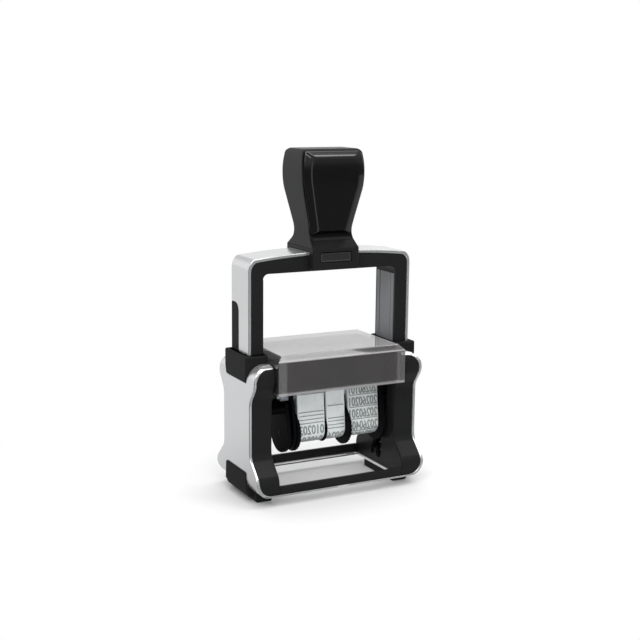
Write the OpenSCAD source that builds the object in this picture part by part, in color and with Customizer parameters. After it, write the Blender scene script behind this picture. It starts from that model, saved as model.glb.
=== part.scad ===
// Self-inking date stamp: a sprung bow slides down over a base and turns a
// carriage of dating bands half a turn, from the ink pad to the paper.
// Millimetres. +X is right seen from the front, -Y is the front, +Z is up.
// The origin is at the middle of the footprint, on the desk.

/* [Base] */
// Width of the base over its shell
base_w = 82; // [78:0.5:88]
// Depth of the base at its foot
foot_d = 44; // [43:0.5:48]
// Depth of the base at its waist
waist_d = 27.2; // [25:0.2:30]
// Depth of the base at its shoulders
head_d = 37; // [36:0.5:39]
// Height of the shoulders above the desk
base_h = 60.3; // [59.5:0.1:62]
// Height where the foot begins to draw in
foot_z = 11.9; // [10.5:0.1:13]
// Height where the waist begins
waist_low = 20.1; // [19:0.1:22]
// Height where the waist ends
waist_high = 44.6; // [42:0.1:45.5]
// Height of the shoulders' widest point
shoulder_z = 51.5; // [50:0.1:52.5]
// Thickness of the outer shell
shell_t = 1.35; // [1:0.05:1.8]
// Radius of the shell's lower corners
corner_r = 7.5; // [6:0.1:9]
// Radius of the shell's shoulders
shoulder_r = 7; // [6:0.1:8]
// Thickness of the inner walls that carry the tracks
wall_t = 1.8; // [1.5:0.1:2.4]
// Height of the sills above the shell's floor
sill_h = 3.75; // [3:0.05:4.5]
// Depth of each sill
sill_d = 1.8; // [1.4:0.1:2.2]
// Width of the bright ledge round the lower opening
ledge = 0.8; // [0.6:0.05:1]

/* [Feet] */
// Height of the shell above the desk
foot_h = 3.7; // [3:0.1:4.5]
// Height of the feet's side plates
foot_side_h = 13.4; // [12:0.1:15]
// How far the feet and collars stand proud of the shell
trim_proud = 0.5; // [0.3:0.05:0.8]
// Length of the feet front to back
foot_len = 29; // [27:0.5:31]

/* [Collars] */
// Height of the collars above the shoulders
collar_rise = 3.5; // [2.5:0.1:4.5]
// Depth to which the collars sink into the shoulders
collar_sink = 7.8; // [6.5:0.1:9]
// Height of the collars' slanted lower edges
collar_slope = 4; // [3:0.1:5]
// Wall of the collars in front of and behind the legs
collar_wall = 2; // [1.6:0.1:2.6]

/* [Bow] */
// Depth of the bow front to back
bow_d = 17.86; // [17:0.02:19]
// Thickness of each leg
leg_t = 7.05; // [6.8:0.05:7.6]
// Thickness of the bright skin
skin_t = 1.36; // [1.1:0.02:1.6]
// Height of the beam at its crown
beam_h = 8.5; // [8:0.1:10]
// Rise of the crown over the corners
arch_rise = 2.3; // [1.5:0.1:3]
// Outer corner radius
bow_r = 5.5; // [4.5:0.1:7]
// Inner corner radius
bow_inner_r = 2.5; // [1.5:0.1:3.5]
// Height of the leg inlays above the shoulders
insert_rise = 24.2; // [20:0.1:28]
// Front edge of the leg inlays behind the middle
insert_y = 1.6; // [1:0.1:3]
// Depth of the recess along each leg's inner face
recess_t = 0.5; // [0.3:0.05:0.7]
// Rim left round that recess
recess_rim = 2; // [1.5:0.1:3]

/* [Grip] */
// Width of the saddle under the grip
saddle_w = 22.2; // [21.4:0.1:24]
// Depth of the saddle
saddle_d = 26; // [25:0.1:28]
// Height of the saddle above the beam's crown
saddle_rise = 1.7; // [1.2:0.1:2.5]
// Drop of the saddle's skirts below the crown
saddle_drop = 7.7; // [7:0.1:8]
// Width of the grip at its neck
neck_w = 20; // [18.5:0.1:21]
// Depth of the grip at its neck
neck_d = 14.4; // [13.5:0.1:16]
// Width of the grip at its widest
grip_w = 31.8; // [29:0.1:34]
// Depth of the grip at its deepest
grip_d = 21.4; // [20:0.1:23]
// Width of the grip's top
top_w = 28.4; // [26:0.1:28.8]
// Depth of the grip's top
top_d = 17.2; // [16.2:0.1:19]
// Height of the grip above the saddle
grip_h = 41.5; // [38:0.1:45]
// Height of the grip's top above its widest point
swell_drop = 11; // [9.5:0.1:12.5]
// Height of the grip's top above its deepest point
deep_drop = 11.5; // [9.5:0.1:12.5]
// Thickness of the glossy panels
panel_t = 1.5; // [1:0.05:1.8]
// Margin between the glossy panels and the grip's sides
panel_margin = 2.9; // [2.4:0.1:3.2]

/* [Lock button] */
// Width of the window
window_w = 15.3; // [13:0.1:16]
// Height of the window
window_h = 4.5; // [4:0.1:4.6]
// Thickness of the button
button_t = 3.4; // [3:0.1:3.8]
// How far the button is pushed in
button_travel = 2; // [1.5:0.1:2.5]

/* [Stroke] */
// Stroke of the bow
travel = 27.8; // [27:0.1:28.4]
// Height of the print face at rest
print_z = 47.4; // [46.8:0.1:47.8]
// Height of the print face above the desk when pressed
print_rest = 0.2; // [0.1:0.05:0.4]
// Room left over the cover when pressed
bow_spare = 5.3; // [4.5:0.1:7]
// Radius of the pivot pins
pivot_r = 2; // [1.7:0.05:2.2]
// Radius of the cam pins
cam_pin_r = 1.25; // [1:0.05:1.3]
// Distance of the cam pins from the pivot
cam_r = 5; // [4.8:0.1:5.2]

/* [Return springs] */
// Wire of the return springs
wire_d = 0.7; // [0.5:0.05:0.8]
// Outer diameter of the return springs
spring_d = 4; // [3.6:0.05:4]
// Length of the return springs at rest
spring_len = 64; // [60:0.5:68]
// Turns of each return spring
spring_turns = 16; // [12:1:20]

/* [Date wheels] */
// Height of the wheels' axle below the print face
band_reach = 21.4; // [20.8:0.1:22]
// Radius of the thumb rims and cheeks
rim_r = 9; // [8.4:0.1:9.4]
// Radius of the middle wheel's thin rim
thin_rim_r = 6.5; // [6:0.1:7]
// Radius of the hubs that drive the bands
hub_r = 4; // [3.6:0.05:4.2]
// Radius of the wheels' axle
axle_r = 2; // [1.6:0.05:2.2]
// Thickness of the bands with their characters
band_t = 1.3; // [1:0.05:1.5]
// Half width of the flat print face
print_half = 1.9; // [1.6:0.05:2.2]
// Width of the left band
band_left_w = 13.2; // [12:0.1:13.6]
// Width of the middle band
band_middle_w = 9.1; // [8:0.1:9.4]
// Width of the right band
band_right_w = 15.3; // [14:0.1:15.6]
// Thickness of the left and right wheels' thumb rims
rim_t = 1.5; // [1.2:0.05:1.7]
// Thickness of the middle wheel's thin rim
thin_rim_t = 0.8; // [0.6:0.05:1]
// Grooves round each thumb rim
rim_grooves = 30; // [24:1:36]
// Thickness of the cheeks
cheek_t = 1.7; // [1.4:0.05:2]
// Height of the bridge that the bands run over
bridge_h = 5.7; // [4.5:0.1:6.5]
// Open length of bridge between the left cheek and its wheel
bridge_gap = 3.4; // [2.8:0.1:3.8]

/* [Ink cartridge] */
// Depth of the cover
cover_d = 41.4; // [40:0.1:42]
// Height of the cover
cover_h = 17; // [16:0.1:18]
// Wall of the cover
cover_t = 1.6; // [1.2:0.05:1.9]
// Bevel round the cover's top
cover_bevel = 2.4; // [1.8:0.1:3]
// Width of the rails that the cover runs on
rail_w = 0.75; // [0.6:0.05:0.9]
// Thickness of the ink pad
pad_t = 2.6; // [2:0.1:3]
// Thickness of the tray above the pad
tray_t = 2; // [1.5:0.1:2.5]
// Thickness of the label card
card_t = 0.5; // [0.3:0.05:0.6]
// Bare margin beside the card
card_margin = 4.1; // [3:0.1:5]

/* [Fits] */
// Gap between sliding pieces
slide_gap = 0.3; // [0.25:0.01:0.4]
// Radial clearance of a shaft that turns
run_fit = 0.06; // [0.04:0.01:0.09]
// Clearance of pieces that are fixed together
seat_fit = 0.05; // [0.02:0.01:0.08]

/* [Hidden] */
$fn = 48;

// Colours
silver = "#cfd0d2";
black = "#262729";
gloss = "#101112";
steel = "#b8babd";
pale = "#c9d2cd";

// Across the width: shell, legs, walls and cover
half_w = base_w / 2;
shell_in = half_w - shell_t;
bow_half = shell_in - 1.5 * slide_gap;
leg_in = bow_half - leg_t;
leg_core = bow_half - skin_t;
channel_in = leg_in - slide_gap;
frame_in = channel_in - wall_t;
cover_half = frame_in + rail_w;
cover_room = cover_half + slide_gap;
trim_x = half_w + trim_proud;

// Up the height: floor, stroke, cover and bow
floor_z = foot_h + shell_t;
spring_z = floor_z + corner_lift(leg_core - slide_gap);
reach = (print_z - travel - print_rest) / 2;
pivot_z = print_z - reach;
cover_z = print_z + slide_gap;
cover_top = cover_z + cover_h;
leg_z = floor_z + corner_lift(leg_core) + travel;
skin_z = floor_z + corner_lift(bow_half) + travel;
bow_in_z = cover_top + travel + bow_spare;
bow_top = bow_in_z + beam_h;
saddle_top = bow_top + saddle_rise;
grip_top = saddle_top + grip_h;
collar_z = base_h - collar_sink;
collar_top = base_h + collar_rise;
insert_top = base_h + insert_rise;

// Front to back
bow_half_d = bow_d / 2;
channel_half_d = bow_half_d + slide_gap;
collar_half_d = channel_half_d + collar_wall;
sill_y = foot_d / 2 - 0.5;
opening_y = sill_y - sill_d - slide_gap;
edge_inset = 0.3;

// Along the axle, from the right cheek to the left
wheel_gap = 0.15;
cheek_side_gap = ledge + 0.6;
cheek_right_x = frame_in - cheek_side_gap - cheek_t;
band_right_x = cheek_right_x - slide_gap - band_right_w;
rim_right_x = band_right_x - wheel_gap - rim_t;
band_middle_x = rim_right_x - wheel_gap - band_middle_w;
rim_middle_x = band_middle_x - wheel_gap - thin_rim_t;
band_left_x = rim_middle_x - wheel_gap - band_left_w;
rim_left_x = band_left_x - wheel_gap - rim_t;
cheek_left_x = rim_left_x - bridge_gap - cheek_t;
hub_left_end = rim_middle_x - wheel_gap;
hub_middle_end = rim_right_x - wheel_gap;
hub_right_end = cheek_right_x - slide_gap;
boss_end = -(frame_in - 1.2 * slide_gap);

// The carriage's side view
axle_z = print_z - band_reach;
bend_r = 0.3;
band_gap = 0.2;
bend_z = print_z - band_t - bend_r;
boss_r = 3.4;
bridge_top = bend_z + bend_r - band_gap / 2;
bridge_z = bridge_top - bridge_h;
cheek_bend_r = 1.5;
cheek_bend_z = print_z - 0.9 - cheek_bend_r;
cheek_bend_y = print_half + 1.1;

// The return springs stand in pockets behind the pivot pins
pocket_in = leg_in + recess_t + 0.6;
spring_x = leg_core - spring_d / 2 - slide_gap;
pocket_half_d = spring_d / 2 + 1.2 * slide_gap;
spring_y = pivot_r + 0.7 + pocket_half_d;
spring_top = spring_z + spring_len;
spring_peg_h = 9;

// The lock button's window and its pocket in the beam
button_front = saddle_d / 2 - slide_gap;
button_back = button_front - button_t;
pocket_back = button_back - button_travel - slide_gap;
window_z = bow_top - 0.1 - window_h;

// Outlines

// How far a piece that reaches out to this X stays above the shell's floor, clear of its round corner
function corner_lift(x) =
    let (r = corner_r - shell_t, d = x - half_w + corner_r, clear = r - slide_gap)
    r - sqrt(clear * clear - d * d);

function unit(v) = v / norm(v);
function flat(p) = [p[0], p[1]];
function turn(a, b) = let (d = b - a) d > 180 ? d - 360 : d < -180 ? d + 360 : d;

// Points of the arc that rounds corner b, which is [x, y, radius], within the shorter side
function corner_arc(a, b, c, steps) =
    b[2] == 0 ? [flat(b)] :
    let (before = flat(a) - flat(b), after = flat(c) - flat(b),
         u = unit(before), v = unit(after),
         half = acos(u * v) / 2,
         run = min(b[2] / tan(half), 0.78 * norm(before), 0.78 * norm(after)),
         r = run * tan(half),
         mid = flat(b) + unit(u + v) * r / sin(half),
         p = flat(b) + u * run - mid,
         q = flat(b) + v * run - mid,
         from = atan2(p[1], p[0]),
         sweep = turn(from, atan2(q[1], q[0])))
    [for (i = [0:steps]) mid + r * [cos(from + sweep * i / steps), sin(from + sweep * i / steps)]];

// A closed outline from its corners, each [x, y, radius]
function rounded(corners, steps = 7) =
    let (n = len(corners))
    [for (i = [0:n - 1])
        each corner_arc(corners[(i + n - 1) % n], corners[i], corners[(i + 1) % n], steps)];

// Corners of a symmetric outline from those of its right half, bottom to top
function both_sides(half) =
    concat(half, [for (i = [len(half) - 1:-1:0]) [-half[i][0], half[i][1], half[i][2]]]);

function arc(mid, r, from, to, steps) =
    [for (i = [0:steps]) let (a = from + (to - from) * i / steps) mid + r * [cos(a), sin(a)]];

// Side view of the base, drawn in by the inset
function base_side(inset = 0) = rounded(both_sides([
    [foot_d / 2 - 0.6 - inset, foot_h, 2.5],
    [foot_d / 2 - inset, foot_z, 5],
    [waist_d / 2 - inset, waist_low, 5],
    [waist_d / 2 - inset, waist_high, 6],
    [head_d / 2 - inset, shoulder_z, 5],
    [head_d / 2 - inset, base_h, 6.5]]));

// Front view of the base, drawn in by the inset
function base_front(inset = 0) = rounded(both_sides([
    [half_w - inset, foot_h + inset, corner_r - inset],
    [half_w - inset, base_h - inset, shoulder_r - inset]]));

// Side view of a collar, grown by the extra
function collar_side(extra = 0) = rounded(both_sides([
    [collar_half_d - 1 + extra, collar_z - extra, 0],
    [collar_half_d + extra, collar_z + collar_slope, 0],
    [collar_half_d + extra, collar_top + extra, 0]]));

// Front view of the bow's outside, drawn in by the inset, down to the given height
function bow_front(inset, bottom) =
    let (half = bow_half - inset, steps = 10)
    rounded(concat([[half, bottom, 0]],
        [for (i = [0:steps]) let (s = 1 - 2 * i / steps)
            [half * s, bow_top - inset - arch_rise * s * s, abs(s) == 1 ? bow_r - inset : 0]],
        [[-half, bottom, 0]]));

// A loop that runs round the axle and over the bridge
function loop_outline(round_r, top_r, top_y, top_z) =
    let (d = [top_y, top_z - axle_z],
         a = atan2(d[1], d[0]) - acos((round_r - top_r) / norm(d)))
    concat(arc([0, axle_z], round_r, -90, a, 10),
        arc([top_y, top_z], top_r, a, 90, 5),
        arc([-top_y, top_z], top_r, 90, 180 - a, 5),
        [for (i = [0:9]) let (b = 180 - a + (90 + a) * i / 10)
            [round_r * cos(b), axle_z + round_r * sin(b)]]);

// A thumb rim with its grooves
function grooved(r) = [for (i = [0:4 * rim_grooves - 1])
    let (q = i % 4, a = 90 * i / rim_grooves)
    (r - (q < 2 ? 0 : 0.35)) * [cos(a), sin(a)]];

// Side view of the grip, and of its glossy panels when grown
function grip_side(extra = 0) = rounded(both_sides([
    [saddle_d / 2 - 0.6, saddle_top, 0.8],
    [neck_d / 2 + extra, saddle_top + 4.5, 5],
    [grip_d / 2 + extra, grip_top - deep_drop, 40],
    [top_d / 2 + extra, grip_top, 2.5]]));

// Front view of the grip
grip_front = rounded(both_sides([
    [saddle_w / 2, saddle_top, 0.8],
    [neck_w / 2, saddle_top + 6.3, 18],
    [grip_w / 2, grip_top - swell_drop, 36],
    [top_w / 2, grip_top, 2.5]]));

// Front view of a glossy panel
panel_front = rounded(both_sides([
    [neck_w / 2 - 0.8, saddle_top + 7.5, 0.8],
    [grip_w / 2 - panel_margin, grip_top - swell_drop, 30],
    [top_w / 2 - panel_margin + 0.4, grip_top - 1.7, 1.5]]));

// Where a cam pin goes as the carriage turns
function cam_path(a) = [-cam_r * cos(a), pivot_z - travel * a / 180 - cam_r * sin(a)];
function cam_side(a, w) =
    let (d = unit(cam_path(a + 0.5) - cam_path(a - 0.5))) cam_path(a) + w * [-d[1], d[0]];
cam_slot_half = cam_pin_r + slide_gap;
cam_steps = [0:9:180];
cam_track = concat([for (a = cam_steps) cam_side(a, cam_slot_half)],
    [for (a = cam_steps) cam_side(180 - a, -cam_slot_half)]);

// A wound spring: one tube of six sides along a helix with straight ends
rings_per_turn = 8;
spring_sides = 6;
coil_r = (spring_d - wire_d) / 2;
coil_height = spring_len - 2 * wire_d;
coil_rings = spring_turns * rings_per_turn;
function coil_at(i) = let (a = 360 * i / rings_per_turn)
    [coil_r * cos(a), coil_r * sin(a), spring_z + wire_d + coil_height * i / coil_rings];
spring_route = concat([[coil_r, 0, spring_z]], [for (i = [0:coil_rings]) coil_at(i)],
    [[coil_r, 0, spring_top]]);
function route_way(i) = let (last = len(spring_route) - 1)
    i == 0 || i == last ? [0, 0, 1] : unit(spring_route[i + 1] - spring_route[i - 1]);
function ring_point(i, k) =
    let (way = route_way(i), p = spring_route[i], out = unit([p[0], p[1], 0]),
         side = unit(out - way * (out * way)), over = cross(way, side), a = 360 * k / spring_sides)
    p + wire_d / 2 * (cos(a) * side + sin(a) * over);
spring_points = [for (i = [0:len(spring_route) - 1]) for (k = [0:spring_sides - 1]) ring_point(i, k)];
function ring_index(i, k) = i * spring_sides + k % spring_sides;
spring_faces = concat(
    [for (i = [0:len(spring_route) - 2]) for (k = [0:spring_sides - 1])
        each [[ring_index(i, k), ring_index(i + 1, k), ring_index(i + 1, k + 1)],
              [ring_index(i, k), ring_index(i + 1, k + 1), ring_index(i, k + 1)]]],
    [for (k = [1:spring_sides - 2]) [0, k, k + 1]],
    [for (k = [1:spring_sides - 2]) let (last = len(spring_route) - 1)
        [ring_index(last, 0), ring_index(last, k + 1), ring_index(last, k)]]);
spring_gap = min([for (i = [0:coil_rings - rings_per_turn]) for (j = [-2:2])
    let (other = i + rings_per_turn + j)
    if (other <= coil_rings) norm(coil_at(other) - coil_at(i))]) - wire_d;
echo("Least gap between a spring's turns", spring_gap);

// Solids that several pieces share

// An outline in X and Z, carried front to back
module through_depth(outline, half) {
    rotate([90, 0, 0])
        linear_extrude(2 * half, center = true)
            polygon(outline);
}

// An outline in Y and Z, carried from one X to another
module through_width(outline, x0, x1) {
    translate([x0, 0, 0])
        rotate([90, 0, 90])
            linear_extrude(x1 - x0)
                polygon(outline);
}

// A box between two corners
module block(low, high) {
    translate(low)
        cube(high - low);
}

// A round bar along X at the given Y and Z
module bar(r, x0, x1, y, z) {
    translate([x0, y, z])
        rotate([0, 90, 0])
            cylinder(r = r, h = x1 - x0);
}

// The given piece on the left or the right
module on_side(side) {
    if (side < 0) {
        mirror([1, 0, 0])
            children();
    } else {
        children();
    }
}

// Base

module base_shell() {
    lip_x = cover_room + slide_gap;
    color(silver)
        difference() {
            intersection() {
                through_depth(base_front(), foot_d);
                through_width(base_side(), -half_w - 1, half_w + 1);
            }
            through_depth(base_front(shell_t), foot_d);
            block([-lip_x, -foot_d, base_h - 2 * shell_t], [lip_x, foot_d, base_h + 1]);
            through_width(collar_side(seat_fit), -half_w - 1, half_w + 1);
            block([-frame_in + ledge, -opening_y, 0], [frame_in - ledge, opening_y, floor_z + 1]);
        }
}

module side_frame(side) {
    color(black)
        on_side(side) {
            difference() {
                intersection() {
                    through_depth(base_front(shell_t), foot_d);
                    through_width(base_side(edge_inset), frame_in, half_w);
                }
                block([channel_in, -channel_half_d, spring_z], [half_w, channel_half_d, base_h + 1]);
                through_width(collar_side(seat_fit), frame_in - 1, half_w);
                block([frame_in - 1, -foot_d, print_z], [cover_room, foot_d, base_h + 1]);
                pivot_slot();
                cam_slot();
            }
            translate([spring_x, spring_y, floor_z])
                cylinder(r = spring_d / 2 - wire_d - wire_d / 3, h = spring_peg_h);
        }
}

module pivot_slot() {
    half = pivot_r + slide_gap;
    block([frame_in - 1, -half, pivot_z - travel], [channel_in + 1, half, pivot_z]);
    for (z = [pivot_z - travel, pivot_z])
        bar(half, frame_in - 1, channel_in + 1, 0, z);
}

module cam_slot() {
    through_width(cam_track, frame_in - 1, channel_in + 1);
    for (a = [0, 180])
        bar(cam_slot_half, frame_in - 1, channel_in + 1, cam_path(a)[0], cam_path(a)[1]);
}

module sill(side) {
    color(black)
        intersection() {
            through_width(base_side(edge_inset), -frame_in, frame_in);
            mirror([0, side < 0 ? 0 : 1, 0])
                block([-frame_in, -foot_d, floor_z], [frame_in, -sill_y + sill_d, floor_z + sill_h]);
        }
}

module collar(side) {
    color(black)
        on_side(side)
            difference() {
                through_width(collar_side(), cover_room, trim_x);
                block([channel_in, -channel_half_d, collar_z - 1],
                    [shell_in, channel_half_d, collar_top + 1]);
            }
}

module side_foot(side) {
    tuck = 2.5;
    outline = rounded([
        [frame_in - ledge + slide_gap, 0, 0.5],
        [trim_x - tuck, 0, 1.5],
        [trim_x, tuck + 2, 2],
        [trim_x, foot_side_h, 0.3],
        [half_w - shell_t / 2, foot_side_h, 0],
        [frame_in - ledge + slide_gap, foot_h + corner_r, 0]]);
    side_view = rounded(both_sides([
        [foot_len / 2, 0, 0.5],
        [foot_len / 2, foot_h - 0.5, 1],
        [foot_len / 2 - 3.6, foot_z - 2.4, 2],
        [foot_len / 2 - 4.2, foot_side_h, 1]]));
    color(black)
        on_side(side)
            difference() {
                intersection() {
                    through_depth(outline, foot_len);
                    through_width(side_view, 0, trim_x + 1);
                }
                through_depth(base_front(), foot_d);
            }
}

module return_spring(side) {
    color(steel)
        on_side(side)
            translate([spring_x, spring_y, 0])
                polyhedron(spring_points, spring_faces);
}

// Bow

module insert_blank(side, extra) {
    on_side(side)
        through_width(rounded([
            [insert_y - extra, skin_z, 0],
            [bow_half_d, skin_z, 0],
            [bow_half_d, insert_top + extra, 0],
            [insert_y - extra, insert_top + extra, 3.5]]), leg_core, bow_half);
}

module lock_pocket() {
    half = window_w / 2 + slide_gap;
    block([-half, -bow_half_d - 1, window_z - slide_gap], [half, -pocket_back, bow_top + 1]);
}

module bow_shell() {
    color(silver)
        difference() {
            through_depth(bow_front(0, skin_z), bow_half_d);
            through_depth(bow_front(skin_t, skin_z - 1), bow_d);
            for (side = [-1, 1])
                insert_blank(side, seat_fit);
            lock_pocket();
        }
}

module bow_frame() {
    color(black)
        difference() {
            through_depth(bow_front(skin_t, leg_z), bow_half_d);
            through_depth(rounded(both_sides([
                [leg_in, leg_z - 1, 0], [leg_in, bow_in_z, bow_inner_r]])), bow_d);
            for (side = [-1, 1])
                on_side(side)
                    leg_hollows();
            lock_pocket();
        }
}

module leg_hollows() {
    block([pocket_in, spring_y - pocket_half_d, leg_z - 1],
        [leg_core + 1, spring_y + pocket_half_d, spring_top]);
    block([leg_in - 1, recess_rim - bow_half_d, collar_top + travel / 8],
        [leg_in + recess_t, bow_half_d - recess_rim, bow_in_z - bow_inner_r - recess_rim / 2]);
    bar(pivot_r, leg_in - 1, leg_core + 1, 0, pivot_z);
}

module leg_insert(side) {
    color(black)
        insert_blank(side, 0);
}

module saddle() {
    half = saddle_w / 2;
    color(black)
        difference() {
            block([-half, -saddle_d / 2, bow_top - saddle_drop], [half, saddle_d / 2, saddle_top]);
            through_depth(bow_front(-seat_fit, leg_z), bow_half_d + seat_fit);
            block([-window_w / 2, -saddle_d, window_z], [window_w / 2, 0, window_z + window_h]);
        }
}

module lock_button() {
    half = window_w / 2 - slide_gap;
    color(gloss)
        block([-half, -button_front, window_z + slide_gap],
            [half, -button_back, window_z + window_h - slide_gap]);
}

module grip_core() {
    color(black)
        intersection() {
            through_depth(grip_front, saddle_d);
            through_width(grip_side(), -base_w, base_w);
        }
}

module grip_panel(side) {
    color(gloss)
        difference() {
            intersection() {
                through_depth(panel_front, saddle_d);
                through_width(grip_side(panel_t), -base_w, base_w);
                mirror([0, side < 0 ? 0 : 1, 0])
                    block([-base_w, -saddle_d, saddle_top], [base_w, 0, grip_top]);
            }
            through_width(grip_side(), -base_w, base_w);
        }
}

module pivot_pin(side) {
    inner = side < 0 ? -cheek_left_x - cheek_t : cheek_right_x;
    color(steel)
        on_side(side)
            bar(pivot_r, inner + slide_gap, leg_core, 0, pivot_z);
}

// Carriage

module cheek_plate(x) {
    through_width(loop_outline(rim_r, cheek_bend_r, cheek_bend_y, cheek_bend_z), x, x + cheek_t);
}

module cheek_left() {
    spacer = bridge_gap - slide_gap;
    color(black)
        difference() {
            union() {
                cheek_plate(cheek_left_x);
                bar(boss_r, boss_end, cheek_left_x + cheek_t, 0, pivot_z);
                bar(axle_r + 1.2, cheek_left_x, cheek_left_x + cheek_t + spacer, 0, axle_z);
            }
            bar(pivot_r + run_fit, boss_end - 1, cheek_left_x + cheek_t + 1, 0, pivot_z);
            bar(axle_r + seat_fit, cheek_left_x - 1, cheek_left_x + cheek_t + spacer + 1, 0, axle_z);
        }
}

module cheek_right() {
    color(black)
        difference() {
            cheek_plate(cheek_right_x);
            bar(pivot_r + run_fit, cheek_right_x - 1, cheek_right_x + cheek_t + 1, 0, pivot_z);
            bar(axle_r + seat_fit, cheek_right_x - 1, cheek_right_x + cheek_t + 1, 0, axle_z);
        }
}

module bridge() {
    color(steel)
        block([cheek_left_x + cheek_t, -print_half, bridge_z], [cheek_right_x, print_half, bridge_top]);
}

module wheel_axle() {
    color(steel)
        bar(axle_r, cheek_left_x, cheek_right_x + cheek_t, 0, axle_z);
}

module band(x, width) {
    color(pale)
        difference() {
            through_width(loop_outline(hub_r + band_gap + band_t, bend_r + band_t, print_half, bend_z),
                x, x + width);
            through_width(loop_outline(hub_r + band_gap, bend_r, print_half, bend_z),
                x - 1, x + width + 1);
        }
}

module wheel(rim_x, thickness, radius, hub_end) {
    color(black)
        difference() {
            union() {
                translate([rim_x, 0, axle_z])
                    rotate([90, 0, 90])
                        linear_extrude(thickness)
                            polygon(grooved(radius));
                bar(hub_r, rim_x, hub_end, 0, axle_z);
            }
            bar(axle_r + run_fit, rim_x - 1, hub_end + 1, 0, axle_z);
        }
}

module cam_pin(side) {
    inner = side < 0 ? -cheek_left_x : cheek_right_x + cheek_t;
    color(steel)
        on_side(side)
            bar(cam_pin_r, inner, channel_in - slide_gap, -cam_r, pivot_z);
}

// Ink cartridge

// The cover's bevelled outline, of the given half width
function cover_outline(half, inset) = rounded(both_sides([
    [half, cover_z - inset, 0],
    [half, cover_top - cover_bevel - inset / 2, 0],
    [half - cover_bevel + inset / 2, cover_top - inset, 0]]));

// The cover's outside, drawn in by the inset
module cover_blank(inset) {
    intersection() {
        through_depth(cover_outline(cover_half - inset, inset), cover_d);
        through_width(cover_outline(cover_d / 2 - inset, inset), -base_w, base_w);
    }
}

module pad_cover() {
    color("#5a5a5c", 0.5)
        difference() {
            cover_blank(0);
            cover_blank(cover_t);
        }
}

card_y = cover_d / 2 - cover_t - slide_gap / 2;
tray_half_w = cover_half - cover_t - slide_gap / 2;
tray_front = card_y - card_t - slide_gap / 2;
tray_rim = 1.6;
tray_z = cover_z + pad_t;

module label_card() {
    half = cover_half - card_margin;
    color("#4b4849")
        block([-half, -card_y, cover_z + slide_gap + 1],
            [half, card_t - card_y, cover_top - cover_bevel - (cover_t + slide_gap) / 2]);
}

module ink_tray() {
    color(black)
        difference() {
            block([-tray_half_w, -tray_front, cover_z + 0.5], [tray_half_w, tray_front, tray_z + tray_t]);
            block([tray_rim - tray_half_w, tray_rim - tray_front, cover_z - 1],
                [tray_half_w - tray_rim, tray_front - tray_rim, tray_z]);
        }
}

module ink_pad() {
    gap = tray_rim + slide_gap;
    color("#1c2433")
        block([gap - tray_half_w, gap - tray_front, cover_z], [tray_half_w - gap, tray_front - gap, tray_z]);
}

base_shell();
side_frame(-1);  // side_frame_left
side_frame(1);  // side_frame_right
sill(-1);  // front_sill
sill(1);  // rear_sill
collar(-1);  // collar_left
collar(1);  // collar_right
side_foot(-1);  // side_foot_left
side_foot(1);  // side_foot_right
return_spring(-1);  // return_spring_left
return_spring(1);  // return_spring_right
bow_shell();
bow_frame();
leg_insert(-1);  // leg_insert_left
leg_insert(1);  // leg_insert_right
saddle();
grip_core();
grip_panel(-1);  // grip_front_panel
grip_panel(1);  // grip_rear_panel
pivot_pin(-1);  // pivot_pin_left
pivot_pin(1);  // pivot_pin_right
cheek_left();
cheek_right();
bridge();
wheel_axle();
band(band_left_x, band_left_w);  // band_left
band(band_middle_x, band_middle_w);  // band_middle
band(band_right_x, band_right_w);  // band_right
cam_pin(-1);  // cam_pin_left
cam_pin(1);  // cam_pin_right
wheel(rim_left_x, rim_t, rim_r, hub_left_end);  // wheel_left
wheel(rim_middle_x, thin_rim_t, thin_rim_r, hub_middle_end);  // wheel_middle
wheel(rim_right_x, rim_t, rim_r, hub_right_end);  // wheel_right
lock_button();
pad_cover();
label_card();
ink_tray();
ink_pad();
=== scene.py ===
import contextlib
import math
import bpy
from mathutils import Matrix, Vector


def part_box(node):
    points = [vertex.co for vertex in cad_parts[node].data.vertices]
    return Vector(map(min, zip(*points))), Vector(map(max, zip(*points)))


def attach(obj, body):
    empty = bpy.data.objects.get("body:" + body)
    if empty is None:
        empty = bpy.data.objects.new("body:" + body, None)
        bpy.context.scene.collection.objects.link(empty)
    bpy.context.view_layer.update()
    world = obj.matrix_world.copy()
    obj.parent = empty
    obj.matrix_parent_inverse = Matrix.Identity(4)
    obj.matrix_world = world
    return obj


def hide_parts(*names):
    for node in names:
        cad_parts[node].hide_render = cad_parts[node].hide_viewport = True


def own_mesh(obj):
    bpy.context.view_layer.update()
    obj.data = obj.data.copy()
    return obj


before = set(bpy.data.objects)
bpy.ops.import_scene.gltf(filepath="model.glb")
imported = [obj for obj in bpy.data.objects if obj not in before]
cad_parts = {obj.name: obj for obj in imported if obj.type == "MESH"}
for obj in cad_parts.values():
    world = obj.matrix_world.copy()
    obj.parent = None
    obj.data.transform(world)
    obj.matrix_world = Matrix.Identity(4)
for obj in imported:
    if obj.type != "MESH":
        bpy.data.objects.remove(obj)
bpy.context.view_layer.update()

from types import SimpleNamespace

import bmesh
import bpy
from bpy.props import FloatProperty, FloatVectorProperty, IntProperty, PointerProperty
from mathutils import Matrix, Vector

bl_info = {
    "name": "Date stamp",
    "version": (1, 0, 0),
    "blender": (4, 5, 0),
    "location": "3D View > Sidebar > Date stamp",
    "description": "Dresses the packed date stamp with finished pieces and sets its photo stage",
    "category": "Object",
}

# Pieces are modelled with one unit to the millimetre and are brought to metres when they are placed
MM = 0.001
# How far cutting tools reach sideways and upwards, and how far they pass a face that they open
FAR = 60.0
ABOVE = 120.0
PAST = 1.0
# Gap round a piece that is seated in another, and the distance within which two places are one
FIT = 0.05
NEAR = 1e-3
# How squarely a face has to look along an axis to be picked by its normal
SQUARE = 0.9
# How far the black frames of the base lie behind the shell's edges
SETBACK = 0.3
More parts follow.
